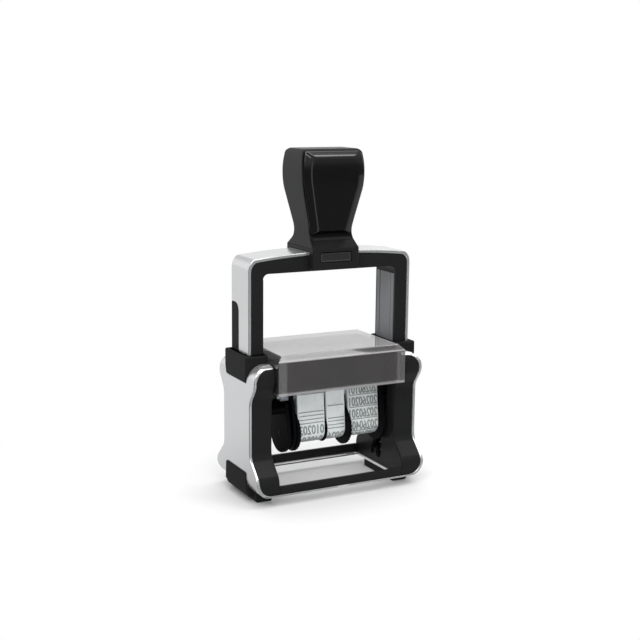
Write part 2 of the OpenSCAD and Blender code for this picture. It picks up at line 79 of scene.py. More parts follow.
# Steps round the large corners of the base and the bow
CORNER_STEPS = 12
ORIGIN = (0, 0, 0)


def node_box(node):
    """Lowest and highest corner of a CAD node, in millimetres."""
    low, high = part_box(node)
    return low / MM, high / MM


SHELL_LOW, SHELL_HIGH = node_box("base_shell")
BOW_LOW, BOW_HIGH = node_box("bow_shell")
LEG_LOW = node_box("bow_frame")[0]
GRIP_LOW, GRIP_HIGH = node_box("grip_core")
AXLE_LOW, AXLE_HIGH = node_box("wheel_axle")
AXLE_Z = (AXLE_LOW.z + AXLE_HIGH.z) / 2
AXLE_R = (AXLE_HIGH.z - AXLE_LOW.z) / 2


# Settings

def length(name, description, millimetres):
    """A length that a user may change, with its default in millimetres."""
    return FloatProperty(
        name=name, description=description, default=millimetres * MM, unit="LENGTH", precision=5)


def tint(name, description, red, green, blue):
    """A colour that a user may change."""
    return FloatVectorProperty(
        name=name, description=description, default=(red, green, blue), subtype="COLOR", min=0, max=1)


def number(name, description, default, least):
    """A whole number that a user may change."""
    return IntProperty(name=name, description=description, default=default, min=least)


def angle(name, description, degrees):
    """An angle that a user may change, with its default in degrees."""
    return FloatProperty(
        name=name, description=description, default=math.radians(degrees), subtype="ANGLE", precision=4)


class StampBase(bpy.types.PropertyGroup):
    """Sizes of the base"""
    half_width: length("Half width", "Half the width of the shell", SHELL_HIGH.x)
    bottom: length("Bottom", "Height of the shell above the desk", SHELL_LOW.z)
    top: length("Top", "Height of the shoulders", SHELL_HIGH.z)
    wall: length("Wall", "Thickness of the shell", 1.35)
    lower_round: length("Lower corners", "Radius of the lower corners", 7.5)
    upper_round: length("Shoulders", "Radius of the shoulders", 7.0)
    foot_half: length("Foot depth", "Half the depth at the foot", 22.0)
    foot_z: length("Foot height", "Height where the foot begins to draw in", 11.9)
    waist_half: length("Waist depth", "Half the depth at the waist", 13.6)
    waist_low: length("Waist begins", "Height where the waist begins", 20.1)
    waist_high: length("Waist ends", "Height where the waist ends", 44.6)
    head_half: length("Shoulder depth", "Half the depth at the shoulders", 18.5)
    head_low: length("Shoulder height", "Height of the shoulders' widest point", 51.5)
    head_round: length("Shoulder rounding", "Radius of the shoulders in side view", 4.8)
    frame_in: length("Inner width", "Half the room between the side frames", 30.05)
    channel_in: length("Channel", "Inner side of the channels that the legs run in", 31.85)
    channel_half: length("Channel depth", "Half the depth of those channels", 9.23)
    cover_room: length("Cover room", "Half the width of the cover's bay", 31.1)
    collar_slant: length("Collar slant", "Height of the collars' slanted lower edges", 4.0)
    edge: length("Edge", "Width of the softened sheet edge", 0.42)


class StampBow(bpy.types.PropertyGroup):
    """Sizes of the bow"""
    skin: length("Skin", "Thickness of the bright skin", 1.36)
    leg: length("Leg", "Thickness of each leg", 7.05)
    arch: length("Arch", "Rise of the crown over the corners", 2.3)
    corner: length("Corner", "Outer corner radius", 5.5)
    inner_corner: length("Inner corner", "Inner corner radius", 2.5)
    inner_top: length("Inner top", "Height of the beam's underside", 97.8)
    setback: length("Setback", "How far the black frame lies behind the skin's edges", 0.3)


class StampGrip(bpy.types.PropertyGroup):
    """Sizes of the grip"""
    neck_half: length("Neck", "Half the width of the neck", 10.0)
    neck_half_depth: length("Neck depth", "Half the depth of the neck", 7.2)
    swell_half: length("Swell", "Half the width of the swell", 15.9)
    swell_half_depth: length("Swell depth", "Half the depth of the swell", 10.7)
    top_half: length("Top", "Half the width of the top", 14.2)
    top_half_depth: length("Top depth", "Half the depth of the top", 8.6)
    swell_drop: length("Swell drop", "Height of the top above the widest point", 11.0)
    deep_drop: length("Deep drop", "Height of the top above the deepest point", 11.5)
    side_round: length("Side rounding", "Radius of the grip's long edges at its foot", 1.4)
    panel_margin: length("Panel margin", "Margin between a panel and the grip's side", 0.9)
    panel_bevel: length("Panel bevel", "Width of the panels' bevelled border", 3.0)
    panel_rise: length("Panel rise", "How far the panels stand proud", 1.42)


class StampCarriage(bpy.types.PropertyGroup):
    """Sizes of the turning carriage"""
    print_z: length("Print face", "Height of the print face at rest", 47.4)
    pivot_z: length("Pivot", "Height of the pivot", 37.7)
    stroke: length("Stroke", "Stroke of the bow", 27.8)
    cam_arm: length("Cam arm", "Distance of the cam pins from the pivot", 5.0)
    hub: length("Hub", "Radius of the wheels' hubs", 4.0)
    band: length("Band", "Thickness of the bands", 1.3)
    bend: length("Bend", "Inner radius of the bands' bends", 0.3)
    print_half: length("Print width", "Half the width of the flat print face", 1.9)
    groove: length("Groove", "Depth of the grooves of the thumb rims", 0.35)
    relief: length("Relief", "Height of the raised characters", 0.32)
    row: length("Row", "Height of a row of characters", 4.1)


class StampCartridge(bpy.types.PropertyGroup):
    """Sizes of the ink cartridge"""
    wall: length("Wall", "Wall of the cover", 1.6)
    bevel: length("Bevel", "Bevel round the cover's top", 2.4)
    edge: length("Edge", "Softening of the cover's edges", 0.3)


class StampColours(bpy.types.PropertyGroup):
    """Colours of the finishes"""
    silver: tint("Silver", "Satin silver of the shell and the bow", 0.69, 0.695, 0.705)
    black: tint("Black", "Satin black plastic", 0.0135, 0.0137, 0.0143)
    # Inner black: a darker copy of the black, painted shade for the carriage's wheels, side plates and pins
    # between the side frames
    inner: tint("Inner black", "Wheels and side plates of the carriage", 0.004, 0.0042, 0.005)
    liner: tint("Liner", "Grey strips inside the legs", 0.2, 0.205, 0.217)
    gloss: tint("Gloss", "Polished black", 0.0022, 0.0022, 0.0025)
    key: tint("Key", "Lock button", 0.02, 0.0202, 0.021)
    grip: tint("Grip", "Matte grip plastic", 0.032, 0.0322, 0.0334)
    rubber: tint("Rubber", "Feet", 0.012, 0.0121, 0.0126)
    steel: tint("Steel", "Pins and springs", 0.6, 0.6, 0.61)
    chrome: tint("Chrome", "Bridge that the bands run over", 0.74, 0.79, 0.87)
    band: tint("Band", "Pale rubber of the bands", 0.87, 0.945, 0.94)
    ink: tint("Ink", "Ink left on the characters", 0.31, 0.34, 0.335)
    smoke: tint("Smoke", "Smoke-clear cover", 0.06, 0.057, 0.057)
    # Colour of the light painted into the cover: its margins and lip, a highlight line under the bevel, and
    # a painted reflection over its top
    painted_cover_light: tint("Haze", "Light caught in the cover's borders", 0.9, 0.885, 0.89)
    card: tint("Card", "Label card", 0.041, 0.0385, 0.039)
    felt: tint("Felt", "Inked felt", 0.012, 0.014, 0.03)
    floor: tint("Floor", "Studio floor", 0.76, 0.76, 0.76)


class StampCamera(bpy.types.PropertyGroup):
    """The camera of the photograph"""
    place: FloatVectorProperty(
        name="Place", description="Where the camera stands", unit="LENGTH",
        default=(-0.2388, -0.456, 0.1739))
    heading: angle("Heading", "Turn of the view from the depth axis towards the right", 27.555)
    dip: angle("Dip", "How far the view looks down", 10.933)
    roll: angle("Roll", "Roll of the camera", 0.616)
    lens: FloatProperty(
        name="Lens", description="Focal length on a 36 mm sensor", default=67.106, unit="CAMERA")


class StampSettings(bpy.types.PropertyGroup):
    """All settings of the date stamp"""
    base: PointerProperty(type=StampBase)
    bow: PointerProperty(type=StampBow)
    grip: PointerProperty(type=StampGrip)
    carriage: PointerProperty(type=StampCarriage)
    cartridge: PointerProperty(type=StampCartridge)
    colours: PointerProperty(type=StampColours)
    camera: PointerProperty(type=StampCamera)
    rim_grooves: number("Rim grooves", "Grooves round each thumb rim", 30, 12)
    spring_turns: number("Spring turns", "Turns of each return spring", 16, 6)


def in_mm(group):
    """The lengths of a settings group in millimetres."""
    return SimpleNamespace(**{name: getattr(group, name) / MM for name in group.__annotations__})


# Modelling by hand

def alone(obj):
    """Makes obj the active object and the only one selected."""
    bpy.ops.object.select_all(action="DESELECT")
    obj.select_set(True)
    bpy.context.view_layer.objects.active = obj


def add(name, operator, **settings):
    """Runs an operator that adds an object, with nothing else selected, and names that object."""
    bpy.ops.object.select_all(action="DESELECT")
    operator(**settings)
    obj = bpy.context.object
    obj.name = name
    return obj


@contextlib.contextmanager
def editing(obj, mode="FACE", action="DESELECT"):
    """Edit mode on obj alone, with nothing selected unless the action is SELECT."""
    alone(obj)
    bpy.ops.object.mode_set(mode="EDIT")
    bpy.ops.mesh.select_mode(type=mode)
    bpy.ops.mesh.select_all(action=action)
    yield
    bpy.ops.object.mode_set(mode="OBJECT")


def pick(obj, kind, test):
    """In edit mode, selects only the verts, edges or faces of obj that pass the test."""
    bpy.ops.mesh.select_all(action="DESELECT")
    mesh = bmesh.from_edit_mesh(obj.data)
    for item in getattr(mesh, kind):
        if test(item):
            item.select_set(True)
    mesh.select_flush_mode()
    bmesh.update_edit_mesh(obj.data)


def face_outwards():
    """In edit mode, selects everything and turns its faces outwards."""
    bpy.ops.mesh.select_all(action="SELECT")
    bpy.ops.mesh.normals_make_consistent(inside=False)


def across(axis, u, v, along=0.0):
    """A point from its place on the plane across an axis and its place along that axis."""
    return Vector({"X": (along, u, v), "Y": (u, along, v), "Z": (u, v, along)}[axis])


def corner_run(before, corner, after):
    """How far the rounding of a corner runs along its sides."""
    here = Vector(corner[:2])
    half = (Vector(before[:2]) - here).angle(Vector(after[:2]) - here) / 2
    return corner[2] / math.tan(half)


def sketch(name, corners, axis, steps=8):
    """A flat face across an axis from its corners, each (u, v) or (u, v, radius)."""
    obj = add(name, bpy.ops.mesh.primitive_circle_add, vertices=len(corners), fill_type="NGON")
    for vert, corner in zip(obj.data.vertices, corners):
        vert.co = across(axis, *corner[:2])
    with editing(obj, "VERT"):
        for i, corner in enumerate(corners):
            if len(corner) == 3 and corner[2] > 0:
                run = corner_run(corners[i - 1], corner, corners[(i + 1) % len(corners)])
                spot = across(axis, *corner[:2])
                pick(obj, "verts", lambda vert: (vert.co - spot).length < NEAR)
                bpy.ops.mesh.bevel(
                    affect="VERTICES", offset=run, segments=steps, profile=0.5, clamp_overlap=False)
    return obj


def slab(name, corners, axis, low, high, steps=8):
    """A sketch carried along its axis from one place to another."""
    obj = sketch(name, corners, axis, steps)
    with editing(obj, action="SELECT"):
        bpy.ops.transform.translate(value=across(axis, 0, 0, low))
        bpy.ops.mesh.extrude_region_move(
            TRANSFORM_OT_translate={"value": across(axis, 0, 0, high - low)})
        face_outwards()
    return obj


def block(name, low, high):
    """A box between two corners."""
    low, high = Vector(low), Vector(high)
    obj = add(name, bpy.ops.mesh.primitive_cube_add, size=1)
    with editing(obj, action="SELECT"):
        bpy.ops.transform.resize(value=high - low, center_override=ORIGIN)
        bpy.ops.transform.translate(value=(low + high) / 2)
    return obj


def rod(name, radius, low, high, y, z, sides=48):
    """A round bar along X."""
    obj = add(name, bpy.ops.mesh.primitive_cylinder_add, vertices=sides, radius=radius, depth=high - low)
    with editing(obj, action="SELECT"):
        bpy.ops.transform.rotate(value=math.pi / 2, orient_axis="Y", center_override=ORIGIN)
        bpy.ops.transform.translate(value=((low + high) / 2, y, z))
    return obj


def finish_modifier(obj, kind, **settings):
    """Adds a modifier to obj with its settings and applies it."""
    alone(obj)
    modifier = obj.modifiers.new("finish", kind)
    for name, value in settings.items():
        setattr(modifier, name, value)
    bpy.ops.object.modifier_apply(modifier=modifier.name)


def carve(obj, operation, *tools):
    """Cuts, joins or intersects obj with each tool and clears the tool away."""
    for tool in tools:
        finish_modifier(obj, "BOOLEAN", operation=operation, solver="EXACT", object=tool)
        bpy.data.objects.remove(tool)
    with editing(obj, action="SELECT"):
        bpy.ops.mesh.remove_doubles(threshold=0.004)
        bpy.ops.mesh.dissolve_limited(angle_limit=math.radians(0.3))
    if not obj.data.polygons:
        raise RuntimeError(f"nothing is left of {obj.name}")
    return obj


def cut(obj, *tools):
    """Takes the tools away from obj."""
    return carve(obj, "DIFFERENCE", *tools)


def common(obj, *tools):
    """Keeps what obj and the tools share."""
    return carve(obj, "INTERSECT", *tools)


def join(obj, *tools):
    """Fuses the tools to obj."""
    return carve(obj, "UNION", *tools)


def round_edges(obj, width, steps=3, limit=38):
    """Rounds the edges of obj that are sharper than the limit."""
    finish_modifier(
        obj, "BEVEL", width=width, segments=steps, limit_method="ANGLE",
        angle_limit=math.radians(limit), use_clamp_overlap=False, miter_outer="MITER_ARC")


def smooth(obj, limit=40):
    """Smooths the faces of obj and lets its broad faces stay flat."""
    alone(obj)
    bpy.ops.object.shade_smooth_by_angle(angle=math.radians(limit))
    finish_modifier(obj, "WEIGHTED_NORMAL", keep_sharp=True, weight=80)


def soften(obj, width, steps=3, limit=38):
    """Rounds the sharp edges of obj and smooths its faces."""
    round_edges(obj, width, steps, limit)
    smooth(obj)


def flip(obj):
    """Mirrors obj to the other side."""
    with editing(obj, action="SELECT"):
        bpy.ops.transform.resize(value=(-1, 1, 1), center_override=ORIGIN)
        bpy.ops.mesh.flip_normals()
    return obj


def place(obj, name, body, slot, finish, *nodes):
    """Brings a finished piece to metres, gives it its name, body and finish, and hides the CAD nodes that
    it replaces. The slot is not used.
    """
    with editing(obj, action="SELECT"):
        bpy.ops.transform.resize(value=(MM, MM, MM), center_override=ORIGIN)
    obj.name = name
    obj.data.name = name
    obj.data.materials.clear()
    obj.data.materials.append(finish)
    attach(obj, body)
    if nodes:
        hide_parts(*nodes)
    return obj


def place_pair(obj, name, body, slot, finish, *nodes):
    """Places obj on the right and a mirrored copy, with its own mesh, on the left."""
    alone(obj)
    bpy.ops.object.duplicate()
    copy = flip(bpy.context.object)
    smooth(copy)
    for piece, side in ((obj, "right"), (copy, "left")):
        place(piece, f"{name}_{side}", body, slot, finish, *[f"{node}_{side}" for node in nodes])


# Outlines that several pieces share

def mirrored(half):
    """Corners of a symmetric outline from those of its right half, bottom to top."""
    return half + [(-corner[0], *corner[1:]) for corner in reversed(half)]


def base_side(b, inset=0.0):
    """Side view of the base, drawn in by the inset."""
    toe, toe_round = 0.6, 2.5
    bend, shoulder_bend = 5.0, 6.0
    return mirrored([
        (b.foot_half - toe - inset, b.bottom, toe_round),
        (b.foot_half - inset, b.foot_z, bend),
        (b.waist_half - inset, b.waist_low, bend),
        (b.waist_half - inset, b.waist_high, shoulder_bend),
        (b.head_half - inset, b.head_low, bend),
        (b.head_half - inset, b.top, b.head_round)])


def base_front(b, inset=0.0):
    """Front view of the base, drawn in by the inset."""
    return mirrored([
        (b.half_width - inset, b.bottom + inset, b.lower_round - inset),
        (b.half_width - inset, b.top - inset, b.upper_round - inset)])


def collar_side(b, extra=0.0):
    """Side view of a collar, grown by the extra."""
    low, high = node_box("collar_right")
    drawn_in = 1.0
    return mirrored([
        (high.y - drawn_in + extra, low.z - extra),
        (high.y + extra, low.z + b.collar_slant),
        (high.y + extra, high.z + extra)])


def bow_front(w, inset, bottom):
    """Front view of the bow's outside, drawn in by the inset, down to a height."""
    half = BOW_HIGH.x - inset
    crown = BOW_HIGH.z - inset
    steps = 24
    arch = []
    for i in range(1, steps):
        s = 1 - 2 * i / steps
        arch.append((half * s, crown - w.arch * s * s))
    shoulder = (half, crown - w.arch, w.corner - inset)
    return [(half, bottom), shoulder, *arch, (-half, *shoulder[1:]), (-half, bottom)]


def arc(mid, radius, start, end, steps):
    """Points along an arc, with its angles in degrees."""
    points = []
    for i in range(steps + 1):
        a = math.radians(start + (end - start) * i / steps)
        points.append((mid[0] + radius * math.cos(a), mid[1] + radius * math.sin(a)))
    return points


def loop_outline(round_r, top_r, top_y, top_z):
    """A loop in Y and Z that runs round the axle and over the bridge."""
    round_steps, bend_steps = 18, 8
    reach = Vector((top_y, top_z - AXLE_Z))
    lean = math.degrees(math.atan2(reach.y, reach.x) - math.acos((round_r - top_r) / reach.length))
    return (arc((0, AXLE_Z), round_r, -90, lean, round_steps)
            + arc((top_y, top_z), top_r, lean, 90, bend_steps)
            + arc((-top_y, top_z), top_r, 90, 180 - lean, bend_steps)
            + arc((0, AXLE_Z), round_r, 180 - lean, 270, round_steps)[:-1])


# Finishes

class Wire:
    """An output socket, whose arithmetic adds Math nodes."""

    def __init__(self, finish, socket):
        self.finish = finish
        self.socket = socket

    def maths(self, operation, first, second):
        return self.finish.node("ShaderNodeMath", {"operation": operation}, {0: first, 1: second})

    def __add__(self, other):
        return self.maths("ADD", self, other)

    def __radd__(self, other):
        return self.maths("ADD", other, self)

    def __sub__(self, other):
        return self.maths("SUBTRACT", self, other)

    def __rsub__(self, other):
        return self.maths("SUBTRACT", other, self)

    def __mul__(self, other):
        return self.maths("MULTIPLY", self, other)

    def __rmul__(self, other):
        return self.maths("MULTIPLY", other, self)

    def __truediv__(self, other):
        return self.maths("DIVIDE", self, other)

    def __pow__(self, other):
        return self.maths("POWER", self, other)

    def __abs__(self):
        return self.maths("ABSOLUTE", self, 0)

    def at_least(self, other):
        return self.maths("MAXIMUM", self, other)


class Finish:
    """A node tree under construction, of a material or of the world."""

    def __init__(self, owner):
        owner.use_nodes = True
        self.owner = owner
        self.tree = owner.node_tree
        self.tree.nodes.clear()

    def node(self, kind, settings=None, sockets=None, output=0):
        """Adds a node with its settings, then its sockets' values or links, and returns one output."""
        node = self.tree.nodes.new(kind)
        for name, value in (settings or {}).items():
            setattr(node, name, value)
        for name, value in (sockets or {}).items():
            if isinstance(value, Wire):
                self.tree.links.new(value.socket, node.inputs[name])
            else:
                node.inputs[name].default_value = value
        return Wire(self, node.outputs[output]) if node.outputs else None

    def ramp(self, value, low, high):
        """Value carried from low..high to 0..1."""
        return self.node("ShaderNodeMapRange", {"interpolation_type": "SMOOTHSTEP"},
                         {"Value": value, "From Min": low, "From Max": high})

    def place(self):
        """Where a point lies on the piece."""
        return self.node("ShaderNodeTexCoord", output="Object")

    def axes(self, vector):
        """The three coordinates of a vector."""
        split = self.node("ShaderNodeSeparateXYZ", None, {0: vector}).socket.node
        return [Wire(self, output) for output in split.outputs]

    def sideways(self, low, high):
        """How far a face is turned to the left or right, carried from low..high to 0..1."""
        x = self.axes(self.node("ShaderNodeTexCoord", output="Normal"))[0]
        return self.ramp(abs(x), low, high)

    def rays(self):
        """Whether a ray comes from the camera, and whether from a mirror or through glass."""
        outputs = self.node("ShaderNodeLightPath").socket.node.outputs
        camera, mirror, glass = (
            Wire(self, outputs[f"Is {kind} Ray"]) for kind in ("Camera", "Glossy", "Transmission"))
        return camera, mirror.at_least(glass)

    def noise(self, scale, detail=3.0, stretch=None):
        """Noise over the piece, from 0 to 1, drawn out along an axis where a stretch is given."""
        where = self.place()
        if stretch:
            where = self.node("ShaderNodeMapping", None, {"Vector": where, "Scale": stretch})
        return self.node("ShaderNodeTexNoise", None, {"Vector": where, "Scale": scale, "Detail": detail})

    def blend(self, share, first, second):
        """A colour between two others."""
        return self.node("ShaderNodeMix", {"data_type": "RGBA"}, {0: share, 6: first, 7: second}, output=2)

    def vary(self, share, colour, first, second):
        """A colour that runs from one shade of itself to another."""
        return self.blend(share, shade(colour, first), shade(colour, second))

    def bump(self, height, strength, distance):
        """A Normal that follows a height."""
        return self.node(
            "ShaderNodeBump", None, {"Height": height, "Strength": strength, "Distance": distance})

    def surface(self, **sockets):
        """The material, from the names of its shader's sockets with underscores for spaces."""
        named = {name.replace("_", " "): value for name, value in sockets.items()}
        return self.result(self.node("ShaderNodeBsdfPrincipled", None, named))

    def layers(self, share, first, second):
        """The material, from two shaders and the second one's share."""
        return self.result(self.node("ShaderNodeMixShader", None, {0: share, 1: first, 2: second}))

    def result(self, shader):
        """The material, with the shader as its surface."""
        self.node("ShaderNodeOutputMaterial", None, {"Surface": shader})
        return self.owner


def material(name):
    """A new material under construction."""
    return Finish(bpy.data.materials.new(name))


def shade(colour, factor=1.0):
    """A colour made lighter or darker, with its alpha."""
    return (*[min(1.0, channel * factor) for channel in colour], 1.0)


def satin_silver(c):
    """Silver lacquer: fine flakes, a faint drawn grain and cloudy gloss."""
    f = material("satin_silver")
    flakes = f.noise(2600, 2)
    grain = f.noise(420, 3, (1, 1, 0.06))
    cloud = f.noise(38, 3)
    return f.surface(
        Base_Color=f.vary(flakes * 0.6 + cloud * 0.4, c.silver, 0.93, 1.07),
        Metallic=0.8,
        Roughness=0.2 + cloud * 0.05 + flakes * 0.04,
        Normal=f.bump(flakes + grain * 0.5, 0.006, 0.00004))


def satin_plastic(name, colour, rough, grain_size=1500, depth=0.00005, specular=0.32):
    """Moulded plastic with a fine spark grain and slightly rubbed patches."""
    f = material(name)
    grain = f.noise(grain_size, 3)
    rubbed = f.noise(55, 4)
    return f.surface(
        Base_Color=f.vary(grain * 0.5 + rubbed * 0.5, colour, 0.8, 1.25),
        Roughness=rough - 0.06 + rubbed * 0.12 + grain * 0.04,
        Specular_IOR_Level=specular,
        Normal=f.bump(grain, 0.12, depth))


def grip_plastic(c):
    """Grip plastic: polished in front and behind, with soft-touch sides and a fine grain."""
    f = material("grip_plastic")
    grain = f.noise(1900, 3)
    rubbed = f.noise(55, 4)
    side = f.sideways(0.45, 0.85)
    matte = f.vary(grain * 0.5 + rubbed * 0.5, c.grip, 0.8, 1.25)
    return f.surface(
        Base_Color=f.blend(side, shade(c.gloss), matte),
        Roughness=0.24 + side * 0.14 + rubbed * 0.08 + grain * 0.04,
        Specular_IOR_Level=0.07,
        Normal=f.bump(grain * side, 0.12, 0.00007))


def gloss_plastic(c):
    """Polished black with a trace of orange peel and fine hairlines."""
    f = material("polished_black")
    peel = f.noise(90, 1)
    hairs = f.noise(700, 2, (1, 0.1, 0.04))
    return f.surface(
        Base_Color=f.vary(hairs, c.gloss, 0.8, 1.3),
        Roughness=0.07 + hairs * 0.06,
        Specular_IOR_Level=0.6,
        Normal=f.bump(peel + hairs * 0.05, 0.05, 0.0004))


def steel_finish(name, colour, rough, metallic=1.0):
    """Drawn steel with a fine lengthwise grain."""
    f = material(name)
    grain = f.noise(900, 2, (0.08, 1, 1))
    stain = f.noise(60, 3)
    return f.surface(
        Base_Color=f.vary(stain, colour, 0.85, 1.05),
        Metallic=metallic,
        Roughness=rough + grain * 0.08,
        Normal=f.bump(grain, 0.08, 0.00004))


def band_rubber(c):
    """Pale rubber with a faint bloom and traces of old ink."""
    f = material("pale_rubber")
    bloom = f.noise(120, 4)
    specks = f.ramp(f.noise(420, 4), 0.56, 0.72)
    clean = f.vary(bloom, c.band, 0.86, 1.12)
    return f.surface(
        Base_Color=f.blend(specks * 0.3, clean, shade(c.ink, 1.6)),
        Roughness=0.36 + bloom * 0.16,
        Normal=f.bump(bloom + f.noise(900, 2) * 0.3, 0.2, 0.00008))


def inked_rubber(c):
    """The characters' rubber, dark with dried ink and rubbed pale in places."""
    f = material("inked_rubber")
    rubbed = f.ramp(f.noise(260, 4), 0.5, 0.75)
    return f.surface(
        Base_Color=f.blend(rubbed * 0.55, shade(c.ink), shade(c.band, 0.55)),
        Roughness=0.42 + rubbed * 0.2,
        Normal=f.bump(rubbed, 0.15, 0.00006))


def smoke_clear(c):
    """Smoke-clear plastic of the cover, with painted light in its side margins and lower lip, a painted
    highlight line under the top's bevel, a painted reflection that lightens its top, painted shade on its
    side walls, and faint wipe marks.
    """
    f = material("smoke_clear")
    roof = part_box("pad_cover")[1].z
    card_low, card_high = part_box("label_card")
    x, _, z = f.axes(f.place())
    soft, fade, skin, line_half = 0.0002, 0.0003, 0.0001, 0.00015
    edge = roof - 0.00235
    # How far a face looks sideways; the cover's side walls get painted shade by it
    wall = f.sideways(0.35, 0.6)
    # Painted light: the margins beside the card and the lip below it are painted lighter
    margin = f.ramp(abs(x), card_high.x - soft, card_high.x + soft)
    lip = 1 - f.ramp(z, card_low.z - 2 * soft, card_low.z + soft)
    # A painted highlight line along the lower edge of the top's bevel
    line = (f.ramp(z, edge - line_half - fade, edge - line_half)
            - f.ramp(z, edge + line_half, edge + line_half + fade))
    # A painted reflection that lightens the top face
    top = f.ramp(z, roof - skin - fade, roof - skin)
    # All of the painted light, kept off the side walls
    painted_light = (margin * 0.1 + lip * 0.3).at_least(line * 0.45) * (1 - wall) + top * 0.5
    wipes = f.noise(60, 3, (1, 0.3, 0.3))
    # Painted shade: the side walls are darkened to a fifth of the smoke colour
    smoke_with_painted_wall_shade = f.vary(wall, c.smoke, 1, 0.2)
    body = f.node("ShaderNodeBsdfPrincipled", None, {
        "Base Color": f.blend(painted_light + wipes * 0.03, smoke_with_painted_wall_shade, shade(c.painted_cover_light)),
        "Roughness": 0.4, "Specular IOR Level": 0.0, "Alpha": 0.62})
    gloss = f.node("ShaderNodeBsdfGlossy", None, {"Color": (1, 1, 1, 1), "Roughness": 0.04})
    outside = 1 - f.node("ShaderNodeNewGeometry", output="Backfacing")
    mirrored_share = f.node("ShaderNodeFresnel", None, {"IOR": 1.65})
    return f.layers(mirrored_share * outside, body, gloss)


def card_paper(c):
    """Dark card with a fine paper tooth."""
    f = material("label_card")
    tooth = f.noise(2400, 3)
    return f.surface(
        Base_Color=f.vary(tooth, c.card, 0.95, 1.05),
        Roughness=0.72 + tooth * 0.12,
        Specular_IOR_Level=0.2,
        Normal=f.bump(tooth, 0.03, 0.00004))


def inked_felt(c):
    """Felt soaked with ink, with matted fibres."""
    f = material("inked_felt")
    fibres = f.noise(900, 5, (1, 0.35, 1))
    wet = f.noise(90, 3)
    return f.surface(
        Base_Color=f.vary(fibres, c.felt, 0.5, 1.9),
        Roughness=0.55 + fibres * 0.3 - wet * 0.12,
        Normal=f.bump(fibres, 0.5, 0.0003))


def make_finishes(c):
    """Every finish of the object, by name."""
    return dict(
        silver=satin_silver(c),
        black=satin_plastic("satin_black", c.black, 0.3, specular=0.09),
        dull=satin_plastic("dull_black", c.black, 0.45, specular=0.04),
        # Painted shade: the carriage's wheels and side plates take the darker copy of the black
        inner=satin_plastic("inner_black", c.inner, 0.55, specular=0.04),
        liner=satin_plastic("leg_liner", c.liner, 0.4),
        # The pins are blackened, and their darker black also carries painted shade
        pin=satin_plastic("blackened_pin", c.inner, 0.5, specular=0.05),
        grip=grip_plastic(c),
        rubber=satin_plastic("foot_rubber", c.rubber, 0.72, 900, 0.00012, 0.14),
        key=satin_plastic("key_grey", c.key, 0.16, specular=0.5),
        gloss=gloss_plastic(c),
        steel=steel_finish("drawn_steel", c.steel, 0.24),
        chrome=steel_finish("bridge_chrome", c.chrome, 0.3, 0.3),
        band=band_rubber(c),
        ink=inked_rubber(c),
        smoke=smoke_clear(c),
        card=card_paper(c),
        felt=inked_felt(c))


FINISH = SimpleNamespace()


# Operators

class STAMP_OT_finishes(bpy.types.Operator):
    """Makes the finishes of all pieces"""
    bl_idname = "stamp.finishes"
    bl_label = "Finishes"

    def execute(self, context):
        vars(FINISH).update(make_finishes(context.scene.stamp.colours))
        return {"FINISHED"}


class STAMP_OT_base_shell(bpy.types.Operator):
    """Models the bright outer shell of the base"""
    bl_idname = "stamp.base_shell"
    bl_label = "Base shell"

    def execute(self, context):
        b = in_mm(context.scene.stamp.base)
        frame_ledge, sill_ledge = 0.8, 0.3
        lip = b.cover_room + FIT
        half_width = b.frame_in - frame_ledge
        half_depth = node_box("rear_sill")[0].y - sill_ledge
        shell = slab("shell", base_front(b), "Y", -FAR, FAR, CORNER_STEPS)
        common(shell, slab("side", base_side(b), "X", -FAR, FAR))
        cut(shell,
            slab("room", base_front(b, b.wall), "Y", -FAR, FAR, CORNER_STEPS),
            block("mouth", (-lip, -FAR, b.top - 2 * b.wall), (lip, FAR, b.top + PAST)),
            slab("seats", collar_side(b, FIT), "X", -FAR, FAR),
            block("opening", (-half_width, -half_depth, 0),
                  (half_width, half_depth, b.bottom + b.wall + PAST)))
        soften(shell, b.edge)
        place(shell, "outer_shell", "base", "silver_shell", FINISH.silver, "base_shell")
        return {"FINISHED"}


class STAMP_OT_side_frames(bpy.types.Operator):
    """Models the black side frames with their slots and tracks"""
    bl_idname = "stamp.side_frames"
    bl_label = "Side frames"

    def execute(self, context):
        b = in_mm(context.scene.stamp.base)
        k = in_mm(context.scene.stamp.carriage)
        inner = b.frame_in - PAST
        outer = b.channel_in + PAST
        spring_z = node_box("return_spring_right")[0].z
        side = slab("frame", base_front(b, b.wall), "Y", -FAR, FAR, CORNER_STEPS)
        common(side, slab("side", base_side(b, SETBACK), "X", b.frame_in, b.half_width))
        self.chamfer_mouth(side, b)
        cut(side,
            block("channel", (b.channel_in, -b.channel_half, spring_z), (FAR, b.channel_half, ABOVE)),
            slab("seat", collar_side(b, FIT), "X", inner, FAR),
            block("bay", (inner, -FAR, k.print_z), (b.cover_room, FAR, ABOVE)),
            *[self.notch(b, k, inner, y) for y in (-b.head_half, b.head_half)])
        round_edges(side, width=0.4)
        cut(side, slab("pivot slot", pivot_slot(k), "X", inner, outer),
            slab("cam track", cam_track(k), "X", inner, outer))
        smooth(side)
        place_pair(side, "frame", "base", "black_plastic", FINISH.black, "side_frame")
        return {"FINISHED"}

    def chamfer_mouth(self, side, b):
        """Breaks the inner edges of the front and rear faces."""
        above_foot = 4.0
        with editing(side, "EDGE"):
            pick(side, "edges", lambda edge: all(
                abs(vert.co.x - b.frame_in) < NEAR and b.bottom + above_foot < vert.co.z < b.waist_high
                for vert in edge.verts))
            bpy.ops.mesh.bevel(offset=0.9, segments=2, clamp_overlap=False)

    def notch(self, b, k, inner, y):
        """Cutter of a shallow notch under the cover's bay, in front or behind."""
        half, reach, floor, roof = 3.0, 4.0, 1.3, 0.3
        return block("notch", (inner, y - half, k.print_z - floor),
                     (b.cover_room + reach, y + half, k.print_z - roof))


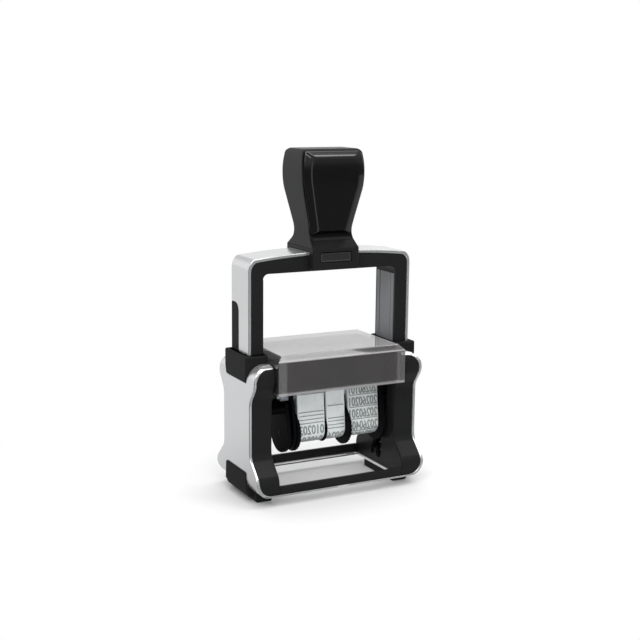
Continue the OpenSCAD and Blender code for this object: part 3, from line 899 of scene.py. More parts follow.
def pivot_slot(k):
    """Outline of the upright slot that a pivot pin slides in."""
    half = 2.3
    low, high = k.pivot_z - k.stroke - half, k.pivot_z + half
    return [(-half, low, half), (half, low, half), (half, high, half), (-half, high, half)]


def cam_track(k):
    """Outline of the curved track that a cam pin follows as the carriage turns."""
    half = 1.55
    steps, overrun, bit = 36, 4, 0.5

    def path(a):
        return Vector((-k.cam_arm * math.cos(math.radians(a)),
                       k.pivot_z - k.stroke * a / 180 - k.cam_arm * math.sin(math.radians(a))))

    sides = [[], []]
    for i in range(-overrun, steps + overrun + 1):
        a = 180 * i / steps
        way = (path(a + bit) - path(a - bit)).normalized()
        for side, sign in zip(sides, (1, -1)):
            side.append(tuple(path(a) + sign * half * Vector((-way.y, way.x))))
    return sides[0] + sides[1][::-1]


class STAMP_OT_sills(bpy.types.Operator):
    """Models the black bars across the bottom of both windows"""
    bl_idname = "stamp.sills"
    bl_label = "Sills"

    def execute(self, context):
        b = in_mm(context.scene.stamp.base)
        for name in ("front_sill", "rear_sill"):
            low, high = node_box(name)
            sill = block("sill", low, high)
            common(sill, slab("side", base_side(b, SETBACK), "X", -FAR, FAR))
            soften(sill, width=0.45)
            place(sill, name.replace("_", "_window_"), "base", "black_plastic", FINISH.black, name)
        return {"FINISHED"}


class STAMP_OT_collars(bpy.types.Operator):
    """Models the collars round the bow's legs"""
    bl_idname = "stamp.collars"
    bl_label = "Collars"

    def execute(self, context):
        b = in_mm(context.scene.stamp.base)
        low, high = node_box("collar_right")
        leg_out = b.half_width - b.wall
        collar = slab("collar", collar_side(b), "X", low.x, high.x)
        cut(collar,
            block("leg hole", (b.channel_in, -b.channel_half, 0), (leg_out, b.channel_half, ABOVE)))
        soften(collar, width=0.8)
        place_pair(collar, "shoulder_collar", "base", "black_plastic", FINISH.dull, "collar")
        return {"FINISHED"}


class STAMP_OT_feet(bpy.types.Operator):
    """Models the feet clipped over the shell's lower edges"""
    bl_idname = "stamp.feet"
    bl_label = "Feet"

    # Height of the plate's lower edge above the desk, in millimetres
    PLATE_LOW = 2.3

    def execute(self, context):
        b = in_mm(context.scene.stamp.base)
        low, high = node_box("side_foot_right")
        out = high.x - 0.03
        plate_in, plate_half = low.x + 6.0, high.y - 4.1
        pad_in, pad_out, pad_half = low.x + 0.6, out - 3.8, high.y - 1.5
        foot = slab("foot", self.plate_front(b, plate_in, out, high.z), "Y", -FAR, FAR)
        common(foot, slab("side", self.plate_side(plate_half, high.z), "X", 0, FAR))
        join(foot, slab("pad", self.pad_front(b, pad_in, pad_out), "Y", -pad_half, pad_half))
        cut(foot, slab("shell", base_front(b), "Y", -FAR, FAR, CORNER_STEPS))
        soften(foot, width=0.25)
        place_pair(foot, "rubber_foot", "base", "foot_rubber", FINISH.rubber, "side_foot")
        return {"FINISHED"}

    def plate_front(self, b, inner, out, top):
        """Front view of the plate that wraps the shell's lower corner."""
        low = self.PLATE_LOW
        splay, rise = 1.5, 3.0
        return [
            (inner, low, 0.5), (out - splay, low, 1.0), (out, low + rise, 2.0), (out, top, 0.3),
            (b.half_width - b.wall / 2, top), (inner, b.bottom + b.lower_round)]

    def plate_side(self, top_half, top):
        """Side view of the plate, a little wider at its foot."""
        taper = 0.7
        return mirrored([(top_half + taper, self.PLATE_LOW, 0.8), (top_half, top, 1.2)])

    def pad_front(self, b, inner, out):
        """Front view of the pad under the plate, which stands on the desk."""
        overlap = 3.0
        top = b.bottom + overlap
        return [(inner, 0, 0.4), (out, 0, 1.2), (out, top), (inner, top)]


class STAMP_OT_springs(bpy.types.Operator):
    """Winds the return springs inside the legs"""
    bl_idname = "stamp.springs"
    bl_label = "Return springs"

    def execute(self, context):
        k = in_mm(context.scene.stamp.carriage)
        for side in ("left", "right"):
            node = f"return_spring_{side}"
            low, high = node_box(node)
            middle = (low + high) / 2
            foot = Vector((middle.x, middle.y, low.z))
            height = high.z - low.z
            spring = self.wind(context.scene.stamp.spring_turns, (high.x - low.x) / 2, height, foot)
            place(spring, f"wound_spring_{side}", "base", "spring_steel", FINISH.steel, node)
            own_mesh(spring)
        return {"FINISHED"}

    def wind(self, turns, radius, height, foot):
        """A coil of round wire that stands on its foot."""
        wire = 0.35
        steps = turns * 24
        spring = add("spring", bpy.ops.mesh.primitive_circle_add, vertices=10, radius=wire)
        with editing(spring, action="SELECT"):
            bpy.ops.transform.rotate(value=math.pi / 2, orient_axis="X", center_override=ORIGIN)
            bpy.ops.transform.translate(value=(radius - wire, 0, wire))
        finish_modifier(spring, "SCREW", angle=turns * math.tau, screw_offset=height - 2 * wire,
                        steps=steps, render_steps=steps, use_merge_vertices=False)
        with editing(spring, "EDGE"):
            bpy.ops.mesh.select_non_manifold()
            bpy.ops.mesh.edge_face_add()
            face_outwards()
            bpy.ops.transform.translate(value=foot)
        smooth(spring, limit=60)
        return spring


def insert_corners(extra=0.0):
    """Side view of a leg inlay, grown by the extra."""
    low, high = node_box("leg_insert_right")
    corner = 3.5
    return [(low.y - extra, low.z - extra), (high.y + extra, low.z - extra),
            (high.y + extra, high.z + extra), (low.y - extra, high.z + extra, corner)]


def button_pocket():
    """The room behind the saddle's window, which the lock button moves in."""
    low, high = node_box("lock_button")
    gap, travel = 0.6, 2.3
    return block("pocket", (low.x - gap, -FAR, low.z - gap), (high.x + gap, high.y + travel, ABOVE))


class STAMP_OT_bow_skin(bpy.types.Operator):
    """Models the bright skin of the bow and the black inlays of its legs"""
    bl_idname = "stamp.bow_skin"
    bl_label = "Bow skin"

    def execute(self, context):
        w = in_mm(context.scene.stamp.bow)
        core = BOW_HIGH.x - w.skin
        skin = slab("skin", bow_front(w, 0, BOW_LOW.z), "Y", BOW_LOW.y, BOW_HIGH.y, CORNER_STEPS)
        cut(skin, slab("inside", bow_front(w, w.skin, BOW_LOW.z - PAST), "Y", -FAR, FAR, CORNER_STEPS),
            slab("right inlay", insert_corners(FIT), "X", core - PAST, FAR),
            slab("left inlay", insert_corners(FIT), "X", -FAR, PAST - core),
            button_pocket())
        soften(skin, width=0.42)
        place(skin, "bow_skin", "bow", "silver_shell", FINISH.silver, "bow_shell")
        inlay = slab("inlay", insert_corners(), "X", core, BOW_HIGH.x)
        soften(inlay, width=0.4)
        place_pair(inlay, "leg_inlay", "bow", "black_plastic", FINISH.dull, "leg_insert")
        return {"FINISHED"}


class STAMP_OT_bow_frame(bpy.types.Operator):
    """Models the black frame inside the bow with its hollow legs, and the grey strips that line them"""
    bl_idname = "stamp.bow_frame"
    bl_label = "Bow frame"

    def execute(self, context):
        w = in_mm(context.scene.stamp.bow)
        k = in_mm(context.scene.stamp.carriage)
        leg_in = BOW_HIGH.x - w.leg
        back = BOW_HIGH.y - w.setback
        collar_lap, corner_gap = 3.0, 3.5
        low, high = node_box("collar_right")[1].z - collar_lap, w.inner_top - corner_gap
        body = slab("frame", bow_front(w, w.skin, LEG_LOW.z), "Y", -back, back, CORNER_STEPS)
        opening = mirrored([(leg_in, LEG_LOW.z - PAST), (leg_in, w.inner_top, w.inner_corner)])
        cut(body, slab("opening", opening, "Y", -FAR, FAR), button_pocket())
        self.round_mouth(body, leg_in, w.inner_top)
        left_tools = [flip(tool) for tool in self.leg_tools(k, leg_in, back, low, high)]
        cut(body, *left_tools, *self.leg_tools(k, leg_in, back, low, high))
        soften(body, width=0.2)
        place(body, "bow_inner_frame", "bow", "black_plastic", FINISH.black, "bow_frame")
        gap, depth = 0.1, 0.55
        # Each strip's name and where its front and rear edges lie
        for name, near, far in (("front", 2.0 - back, 4.2 - back), ("middle", 4.5 - back, back - 3.7),
                                ("rear", back - 3.2, back - 0.5)):
            strip = block("liner", (leg_in + gap, near, low + gap), (leg_in + depth, far, high - gap))
            soften(strip, width=0.15, steps=2)
            place_pair(strip, f"leg_liner_{name}", "bow", "black_plastic", FINISH.liner)
        return {"FINISHED"}

    def leg_tools(self, k, leg_in, back, low, high):
        """Cutters of the right leg's liner recess, spring well and pin bore."""
        spring_low, spring_high = node_box("return_spring_right")
        recess, front_rim, rear_rim = 0.5, 1.3, 0.4
        wall, spring_gap, spring_top, pin_hole = 1.1, 0.36, 0.02, 2.0
        return (
            block("recess", (leg_in - PAST, front_rim - back, low),
                  (leg_in + recess, back - rear_rim, high)),
            block("well", (leg_in + wall, spring_low.y - spring_gap, LEG_LOW.z - PAST),
                  (FAR, spring_high.y + spring_gap, spring_high.z + spring_top)),
            rod("bore", pin_hole, leg_in - PAST, FAR, 0, k.pivot_z))

    def round_mouth(self, body, leg_in, top):
        """Rounds the opening's front and rear edges."""
        near = 0.01
        with editing(body, "EDGE"):
            pick(body, "edges", lambda edge: all(
                abs(vert.co.x) < leg_in + near and LEG_LOW.z < vert.co.z < top + near
                for vert in edge.verts) and abs(edge.verts[0].co.y - edge.verts[1].co.y) < near)
            bpy.ops.mesh.bevel(offset=0.7, segments=3, clamp_overlap=False)


class STAMP_OT_saddle(bpy.types.Operator):
    """Models the block that straddles the bow, and the lock button in its window"""
    bl_idname = "stamp.saddle"
    bl_label = "Saddle and lock button"

    def execute(self, context):
        w = in_mm(context.scene.stamp.bow)
        low, high = node_box("saddle")
        button_low, button_high = node_box("lock_button")
        window_gap, pocket_gap, pocket_front, pocket_roof = 0.3, 0.5, 1.0, 0.6
        saddle = block("saddle", low, high)
        with editing(saddle, "EDGE"):
            pick(saddle, "edges", lambda edge: all(abs(abs(v.co.x) - high.x) < NEAR for v in edge.verts)
                 and abs(edge.verts[0].co.z - edge.verts[1].co.z) > 1)
            bpy.ops.mesh.bevel(offset=0.9, segments=4, clamp_overlap=False)
        bow = bow_front(w, -FIT, LEG_LOW.z)
        cut(saddle,
            slab("bow", bow, "Y", BOW_LOW.y - FIT, BOW_HIGH.y + FIT, CORNER_STEPS),
            block("window", (button_low.x - window_gap, -FAR, button_low.z - window_gap),
                  (button_high.x + window_gap, 0, button_high.z + window_gap)),
            block("pocket",
                  (button_low.x - pocket_gap, button_high.y - pocket_front, button_low.z - pocket_gap),
                  (button_high.x + pocket_gap, 0, BOW_HIGH.z + pocket_roof)))
        soften(saddle, width=0.35)
        place(saddle, "saddle_block", "bow", "black_plastic", FINISH.black, "saddle")
        dish = (0, 0.35, 0)
        button = block("button", button_low, button_high)
        with editing(button):
            pick(button, "faces", lambda face: face.normal.y < -SQUARE)
            bpy.ops.mesh.inset(thickness=0.7)
            bpy.ops.transform.translate(value=dish)
        soften(button, width=0.2, limit=20)
        place(button, "lock_key", "lock", "gloss_black", FINISH.key, "lock_button")
        return {"FINISHED"}


def grip_front(g):
    """Front view of the grip."""
    neck_rise, neck_bend, swell_bend, top_round = 6.3, 18.0, 36.0, 2.5
    return mirrored([
        (node_box("saddle")[1].x, GRIP_LOW.z),
        (g.neck_half, GRIP_LOW.z + neck_rise, neck_bend),
        (g.swell_half, GRIP_HIGH.z - g.swell_drop, swell_bend),
        (g.top_half, GRIP_HIGH.z, top_round)])


def grip_side(g):
    """Side view of the grip."""
    foot_in, neck_rise, neck_bend, swell_bend, top_round = 0.1, 4.5, 5.0, 40.0, 2.5
    return mirrored([
        (node_box("saddle")[1].y - foot_in, GRIP_LOW.z),
        (g.neck_half_depth, GRIP_LOW.z + neck_rise, neck_bend),
        (g.swell_half_depth, GRIP_HIGH.z - g.deep_drop, swell_bend),
        (g.top_half_depth, GRIP_HIGH.z, top_round)])


def panel_front(g, side=0.0, foot=0.0, head=0.0):
    """Front view of a glossy panel, drawn in at its sides, foot and head."""
    neck_in, foot_rise, head_drop = 0.4, 5.6, 0.9
    foot_round, swell_bend, head_round = 1.0, 23.0, 1.6
    return mirrored([
        (g.neck_half - neck_in - side, GRIP_LOW.z + foot_rise + foot, foot_round),
        (g.swell_half - g.panel_margin - side, GRIP_HIGH.z - g.swell_drop, swell_bend),
        (g.top_half - g.panel_margin - side, GRIP_HIGH.z - head_drop - head, head_round)])


def half_profile(corners, steps=14):
    """Heights and half sizes up one side of a symmetric outline."""
    outline = sketch("profile", corners, "X", steps)
    points = sorted((vert.co.z, vert.co.y) for vert in outline.data.vertices if vert.co.y > 0)
    bpy.data.objects.remove(outline)
    return points


def half_at(profile, z):
    """Half size of a profile at a height."""
    for (low, first), (high, second) in zip(profile, profile[1:]):
        if low <= z <= high and high > low:
            return first + (second - first) * (z - low) / (high - low)
    return profile[0][1] if z < profile[0][0] else profile[-1][1]


class STAMP_OT_grip(bpy.types.Operator):
    """Models the matte grip and its two glossy bevelled panels"""
    bl_idname = "stamp.grip"
    bl_label = "Grip"

    def execute(self, context):
        g = in_mm(context.scene.stamp.grip)
        core = self.core(g)
        smooth(core, limit=50)
        place(core, "grip_body", "bow", "grip_matte", FINISH.grip, "grip_core")
        for name, side in (("front", -1), ("rear", 1)):
            panel = self.panel(g, side)
            place(panel, f"grip_panel_{name}", "bow", "gloss_black", FINISH.gloss, f"grip_{name}_panel")
        return {"FINISHED"}

    def core(self, g):
        """The grip's body, built up ring by ring with rounded long edges."""
        wide, deep = half_profile(grip_front(g)), half_profile(grip_side(g))
        levels = sorted({min(round(z, 3), GRIP_HIGH.z) for z, half in wide + deep})
        x, y, r = half_at(wide, levels[0]), half_at(deep, levels[0]), g.side_round
        ring = [(x, -y, r), (x, y, r), (-x, y, r), (-x, -y, r)]
        core = slab("core", ring, "Z", levels[0], levels[1], 6)
        with editing(core):
            pick(core, "faces", lambda face: face.normal.z > SQUARE)
            for here, above in zip(levels, levels[1:]):
                if here > levels[0]:
                    bpy.ops.mesh.extrude_region_move(TRANSFORM_OT_translate={"value": (0, 0, above - here)})
                ratio = [half_at(profile, above) / half_at(profile, here) for profile in (wide, deep)]
                bpy.ops.transform.resize(value=(*ratio, 1), center_override=ORIGIN)
        return core

    def panel(self, g, side):
        """A panel that follows the grip's curve, its border built up ring by ring."""
        deep = half_profile(grip_side(g), 40)
        rings = self.rings(g, self.border(g))
        panel = sketch("panel", [(point.x, point.z) for point in rings[0]], "Y")
        with editing(panel, "VERT", "SELECT"):
            bpy.ops.transform.translate(value=(0, rings[0][0].y, 0))
            bpy.ops.mesh.delete(type="ONLY_FACE")
            bpy.ops.mesh.select_all(action="SELECT")
            for before, after in zip(rings, rings[1:]):
                bpy.ops.mesh.extrude_region_move()
                mesh = bmesh.from_edit_mesh(panel.data)
                for vert in [vert for vert in mesh.verts if vert.select]:
                    nearest = min(range(len(before)), key=lambda i: (before[i] - vert.co).length)
                    vert.co = after[nearest]
                bmesh.update_edit_mesh(panel.data)
            for ring in (rings[0], rings[-1]):
                self.fill(panel, ring)
        for vert in panel.data.vertices:
            vert.co.y = side * (half_at(deep, vert.co.z) - vert.co.y)
        with editing(panel):
            face_outwards()
        smooth(panel, limit=30)
        return panel

    def border(self, g):
        """Insets and depths across a panel's border, from its back edge over its lip to the plateau."""
        back, lip, shoulder, lean = 1.2, 0.5, 5.0, 246
        lip_depth, shoulder_in, plateau_in = 0.2, 0.97, 1.2
        shoulder_mid = (g.panel_bevel + shoulder_in, shoulder - g.panel_rise)
        return [(0, back), *arc((lip, lip_depth), lip, 180, lean, 4),
                *arc(shoulder_mid, shoulder, lean, 270, 8),
                (g.panel_bevel + plateau_in, -g.panel_rise)]

    def rings(self, g, border):
        """Points round a panel for each inset and depth of its border, closely spaced up its sides."""
        foot_share, head_share, spacing, level = 1.3, 2.4, 0.7, 1e-4
        rings = []
        for inset, y in border:
            share = inset / g.panel_bevel
            outline = sketch(
                "ring", panel_front(g, inset, foot_share * share, head_share * share), "Y", 10)
            loop = [outline.data.vertices[i].co.copy() for i in outline.data.polygons[0].vertices]
            bpy.data.objects.remove(outline)
            sides = list(zip(loop, loop[1:] + loop[:1]))
            if not rings:
                counts = [1 if abs(b.z - a.z) < level else math.ceil(round((b - a).length, 3) / spacing)
                          for a, b in sides]
            rings.append([a.lerp(b, i / count) + Vector((0, y, 0))
                          for (a, b), count in zip(sides, counts) for i in range(count)])
        return rings

    def fill(self, panel, ring):
        """In edit mode, closes a ring with faces from each row of its points to the next."""
        places = {(point.x, point.z) for point in ring}
        rows = sorted({round(point.z, 3) for point in ring})
        for low, high in zip(rows, rows[1:]):
            pick(panel, "verts", lambda vert: (
                low - 2 * NEAR < vert.co.z < high + 2 * NEAR
                and (vert.co.x, vert.co.z) in places and abs(vert.co.y - ring[0].y) < NEAR))
            bpy.ops.mesh.edge_face_add()


class STAMP_OT_pins(bpy.types.Operator):
    """Models the pins and the wheels' axle"""
    bl_idname = "stamp.pins"
    bl_label = "Pins and axle"

    def execute(self, context):
        pins = [(f"{kind}_pin_{side}", f"{kind}_stud_{side}", body)
                for kind, body in (("pivot", "bow"), ("cam", "carriage")) for side in ("left", "right")]
        for node, name, body in (*pins, ("wheel_axle", "wheel_shaft", "carriage")):
            low, high = node_box(node)
            middle = (low + high) / 2
            pin = rod("pin", (high.z - low.z) / 2, low.x, high.x, middle.y, middle.z)
            soften(pin, width=0.25)
            # The pins' finish is the darker black that carries painted shade
            place(pin, name, body, "spring_steel", FINISH.pin, node)
        return {"FINISHED"}


class STAMP_OT_cheeks(bpy.types.Operator):
    """Models the side plates of the carriage"""
    bl_idname = "stamp.cheeks"
    bl_label = "Cheeks"

    def execute(self, context):
        k = in_mm(context.scene.stamp.carriage)
        plate, head_drop, pin_hole, pin_end = 1.7, 0.9, 2.06, 0.3
        for side in ("left", "right"):
            low, high = node_box(f"cheek_{side}")
            plate_low = AXLE_LOW.x if side == "left" else low.x
            plate_high = plate_low + plate
            outline = self.side_view(k, high.y, k.print_z - head_drop)
            cheek = slab("cheek", outline, "X", plate_low, plate_high)
            if side == "left":
                self.widen(cheek, k, low, high, plate_low, plate_high)
            pin_low, pin_high = node_box(f"pivot_pin_{side}")
            cut(cheek,
                rod("pivot bore", pin_hole, pin_low.x - pin_end, pin_high.x + pin_end, 0, k.pivot_z),
                rod("axle bore", AXLE_R + FIT, low.x - PAST, high.x + PAST, 0, AXLE_Z))
            soften(cheek, width=0.2)
            name = f"carriage_cheek_{side}"
            # The side plates take the darker black that paints shade between the side frames
            place(cheek, name, "carriage", "black_plastic", FINISH.inner, f"cheek_{side}")
        return {"FINISHED"}

    def side_view(self, k, radius, top):
        """Outline of a plate that runs round the axle and up to a height."""
        bend, spread = 1.5, 1.1
        return loop_outline(radius, bend, k.print_half + spread, top - bend)

    def widen(self, cheek, k, low, high, plate_low, plate_high):
        """Gives the left plate its fin, boss, spacer and guard, and cuts its seat for the bridge."""
        bar_low, bar_high = node_box("bridge")
        boss, spacer_wall = 3.4, 1.2
        fin_gap, fin_rim = 0.2, 0.1
        guard_rim, guard_low, guard_high = 0.8, 1.3, 0.1
        join(cheek,
             block("fin", (plate_low, 0, AXLE_Z), (high.x - fin_gap, high.y - fin_rim, high.z - fin_gap)),
             rod("boss", boss, low.x, plate_high, 0, k.pivot_z),
             rod("spacer", AXLE_R + spacer_wall, plate_low, high.x, 0, AXLE_Z))
        cut(cheek, block("bar", (plate_low - PAST, -FAR, bar_low.z - FIT),
                         (plate_high + PAST, bar_high.y + FIT, ABOVE)))
        guard = self.side_view(k, high.y - guard_rim, bar_high.z)
        join(cheek, slab("guard", guard, "X", high.x - guard_low, high.x - guard_high))
        cut(cheek, block("bar", (plate_low - PAST, bar_low.y - FIT, bar_low.z - FIT),
                         (high.x + PAST, bar_high.y + FIT, bar_high.z + FIT)))


class STAMP_OT_bridge(bpy.types.Operator):
    """Models the bright bar that the bands run over"""
    bl_idname = "stamp.bridge"
    bl_label = "Bridge"

    def execute(self, context):
        low, high = node_box("bridge")
        overhang = 0.2
        bar = block("bridge", (AXLE_LOW.x - overhang, low.y, low.z), high)
        soften(bar, width=0.4, steps=4)
        place(bar, "band_bridge", "carriage", "bridge_chrome", FINISH.chrome, "bridge")
        return {"FINISHED"}


class STAMP_OT_wheels(bpy.types.Operator):
    """Models the band wheels with their grooved thumb rims"""
    bl_idname = "stamp.wheels"
    bl_label = "Band wheels"

    def execute(self, context):
        k = in_mm(context.scene.stamp.carriage)
        grooves = context.scene.stamp.rim_grooves
        run_fit = 0.06
        for name, thickness in (("left", 1.5), ("middle", 0.8), ("right", 1.5)):
            low, high = node_box(f"wheel_{name}")
            radius = (high.z - low.z) / 2
            rim = rod("rim", radius, low.x, low.x + thickness, 0, AXLE_Z, 4 * grooves)
            self.groove(rim, grooves, 1 - k.groove / radius, low.x)
            round_edges(rim, width=0.12, steps=2)
            join(rim, rod("hub", k.hub, low.x + thickness / 2, high.x, 0, AXLE_Z, 64))
            cut(rim, rod("bore", AXLE_R + run_fit, low.x - PAST, high.x + PAST, 0, AXLE_Z))
            smooth(rim)
            wheel = f"band_wheel_{name}"
            # The wheels take the darker black that paints shade between the side frames
            place(rim, wheel, f"{name}_wheel", "black_plastic", FINISH.inner, f"wheel_{name}")
        return {"FINISHED"}

    def groove(self, rim, grooves, share, x):
        """Draws in two of every four corners of a rim to a share of its radius."""
        step = math.tau / (4 * grooves)
        with editing(rim, "VERT"):
            pick(rim, "verts", lambda vert: round(
                math.atan2(vert.co.y, vert.co.z - AXLE_Z) / step) % 4 >= 2)
            bpy.ops.transform.resize(value=(1, share, share), center_override=(x, 0, AXLE_Z))


class BandPath:
    """The way along a band from its upper front bend down, round the axle and up its rear."""

    # Gap between a wheel's hub and its band
    HUB_GAP = 0.2

    def __init__(self, k):
        self.inner_r = k.hub + self.HUB_GAP
        self.round_r = self.inner_r + k.band
        self.bend_r = k.bend + k.band
        self.bend_z = k.print_z - self.bend_r
        reach = Vector((k.print_half, self.bend_z - AXLE_Z))
        self.lean = math.atan2(reach.y, reach.x) - math.acos((self.round_r - self.bend_r) / reach.length)
        self.out = Vector((-math.cos(self.lean), math.sin(self.lean)))
        self.start = Vector((-k.print_half, self.bend_z)) + self.bend_r * self.out
        self.end = Vector((0, AXLE_Z)) + self.round_r * self.out
        self.straight = (self.end - self.start).length
        self.length = 2 * self.straight + self.round_r * (math.pi + 2 * self.lean)

    def at(self, s, height):
        """Y and Z at a run s along the band and a height above its face."""
        if s > self.length / 2:
            y, z = self.at(self.length - s, height)
            return Vector((-y, z))
        if s <= self.straight:
            base = self.start.lerp(self.end, s / self.straight)
            return base + height * self.out
        turned = self.lean - (s - self.straight) / self.round_r
        out = Vector((-math.cos(turned), math.sin(turned)))
        return Vector((0, AXLE_Z)) + (self.round_r + height) * out


class STAMP_OT_bands(bpy.types.Operator):
    """Models the dating bands with generic raised numbers and ruled lines"""
    bl_idname = "stamp.bands"
    bl_label = "Dating bands"

    # Each band's rows of numbers and its ruled lines, by their run along the band in millimetres
    ROWS = {
        "left": [(f"{n:02d}{n + 1:02d}{n + 2:02d}", 17.2 + 1.733 * (n - 1)) for n in range(1, 22, 3)],
        "middle": [(str(2026 + n), 21.6 + 5.2 * n) for n in range(6)],
        "right": [(f"2026{n:02d}01", 5.46 * n - 3.86) for n in range(1, 11)]}
    LINES = {
        "left": [3.3, 11.3, 12.9, 14.6, 16.2],
        "middle": [9.6, 15.2, 16.6, 18.2, 19.7],
        "right": [5.46 * n - 4.76 for n in range(1, 11)]}

    # How deep the characters and lines are rooted in the band
    ROOT = -0.1

    def execute(self, context):
        k = in_mm(context.scene.stamp.carriage)
        path = BandPath(k)
        outside = loop_outline(path.round_r, path.bend_r, k.print_half, path.bend_z)
        inside = loop_outline(path.inner_r, k.bend, k.print_half, path.bend_z)
        for name in ("left", "middle", "right"):
            low, high = node_box(f"band_{name}")
            band = slab("band", outside, "X", low.x, high.x)
            cut(band, slab("inside", inside, "X", low.x - PAST, high.x + PAST))
            soften(band, width=0.22)
            place(band, f"dating_band_{name}", "carriage", "band_rubber", FINISH.band, f"band_{name}")
            relief = self.relief(name, k, path, low.x, high.x)
            place(relief, f"band_relief_{name}", "carriage", "band_rubber", FINISH.ink)
        return {"FINISHED"}

    def relief(self, name, k, path, low, high):
        """The raised numbers and lines of one band, as one mesh."""
        margin, line_half, line_share = 0.55, 0.16, 0.8
        low, high = low + margin, high - margin
        pieces = [self.number_row(text, k, low, high, run) for text, run in self.ROWS[name]]
        for run in self.LINES[name]:
            pieces.append(block("line", (low, run - line_half, self.ROOT),
                                (high, run + line_half, k.relief * line_share)))
        for piece in pieces:
            self.wrap(piece, path)
        alone(pieces[0])
        for piece in pieces[1:]:
            piece.select_set(True)
        bpy.ops.object.join()
        joined = bpy.context.object
        with editing(joined, action="SELECT"):
            bpy.ops.mesh.remove_doubles(threshold=0.002)
            face_outwards()
        smooth(joined, limit=30)
        return joined

    def number_row(self, text, k, low, high, run):
        """A flat row of mirrored numbers, stretched over the band's width and sliced across."""
        slices = 5
        row = add("row", bpy.ops.object.text_add)
        row.data.body = text
        row.data.extrude = 0.2
        row.data.resolution_u = 3
        row.data.offset = 0.012
        bpy.ops.object.convert(target="MESH")
        row = bpy.context.object
        xs = [vert.co.x for vert in row.data.vertices]
        ys = [vert.co.y for vert in row.data.vertices]
        wide = (high - low) / (max(xs) - min(xs))
        tall = k.row / (max(ys) - min(ys))
        for vert in row.data.vertices:
            vert.co = (high - (vert.co.x - min(xs)) * wide, run + (max(ys) - vert.co.y) * tall,
                       k.relief if vert.co.z > 0 else self.ROOT)
        with editing(row):
            for i in range(1, slices):
                bpy.ops.mesh.select_all(action="SELECT")
                bpy.ops.mesh.bisect(plane_co=(0, run + k.row * i / slices, 0), plane_no=(0, 1, 0))
        return row

    def wrap(self, obj, path):
        """Lays a flat piece, drawn with Y down the band and Z above it, on the band."""
        for vert in obj.data.vertices:
            y, z = path.at(vert.co.y, vert.co.z)
            vert.co = (vert.co.x, y, z)


class STAMP_OT_cover(bpy.types.Operator):
    """Models the smoke-clear cover of the ink cartridge"""
    bl_idname = "stamp.cover"
    bl_label = "Cover"

    def execute(self, context):
        p = in_mm(context.scene.stamp.cartridge)
        cover = self.blank(p, 0)
        cut(cover, self.blank(p, p.wall))
        soften(cover, p.edge, steps=4, limit=30)
        place(cover, "smoke_cover", "cartridge", "smoke_clear", FINISH.smoke, "pad_cover")
        return {"FINISHED"}

    def blank(self, p, inset):
        """The cover's bevelled block, drawn in by the inset."""
        low, high = node_box("pad_cover")
        bevel_down, bevel_in = 0.4 * inset, 0.6 * inset

        def outline(half):
            return mirrored([
                (half - inset, low.z - inset), (half - inset, high.z - p.bevel - bevel_down),
                (half - p.bevel - bevel_in, high.z - inset)])

        blank = slab("cover", outline(high.x), "Y", -FAR, FAR)
        return common(blank, slab("side", outline(high.y), "X", -FAR, FAR))


class STAMP_OT_card(bpy.types.Operator):
    """Models the label card behind the cover's front"""
    bl_idname = "stamp.card"
    bl_label = "Label card"

    def execute(self, context):
        low, high = node_box("label_card")
        r = 0.6
        corners = [(low.x, low.z, r), (high.x, low.z, r), (high.x, high.z, r), (low.x, high.z, r)]
        card = slab("card", corners, "Y", low.y, high.y)
        soften(card, width=0.08, steps=2)
        place(card, "index_card", "cartridge", "label_grey", FINISH.card, "label_card")
        return {"FINISHED"}


class STAMP_OT_ink_pad(bpy.types.Operator):
    """Models the tray and the felt that the print face rests under"""
    bl_idname = "stamp.ink_pad"
    bl_label = "Ink pad"

    def execute(self, context):
        low, high = node_box("ink_tray")
        pad_low, pad_high = node_box("ink_pad")
        rim = 1.6
        tray = block("tray", low, high)
        cut(tray, block("room", (low.x + rim, low.y + rim, 0), (high.x - rim, high.y - rim, pad_high.z)))
        soften(tray, width=0.35)
        place(tray, "pad_tray", "cartridge", "black_plastic", FINISH.black, "ink_tray")
        felt = block("felt", pad_low, pad_high)
        with editing(felt):
            pick(felt, "faces", lambda face: face.normal.z < -SQUARE)
            for inset in (1.0, 3.0):
                bpy.ops.mesh.inset(thickness=inset)
        soften(felt, width=0.6, steps=4)
        place(felt, "felt_pad", "cartridge", "pad_felt", FINISH.felt, "ink_pad")
        return {"FINISHED"}


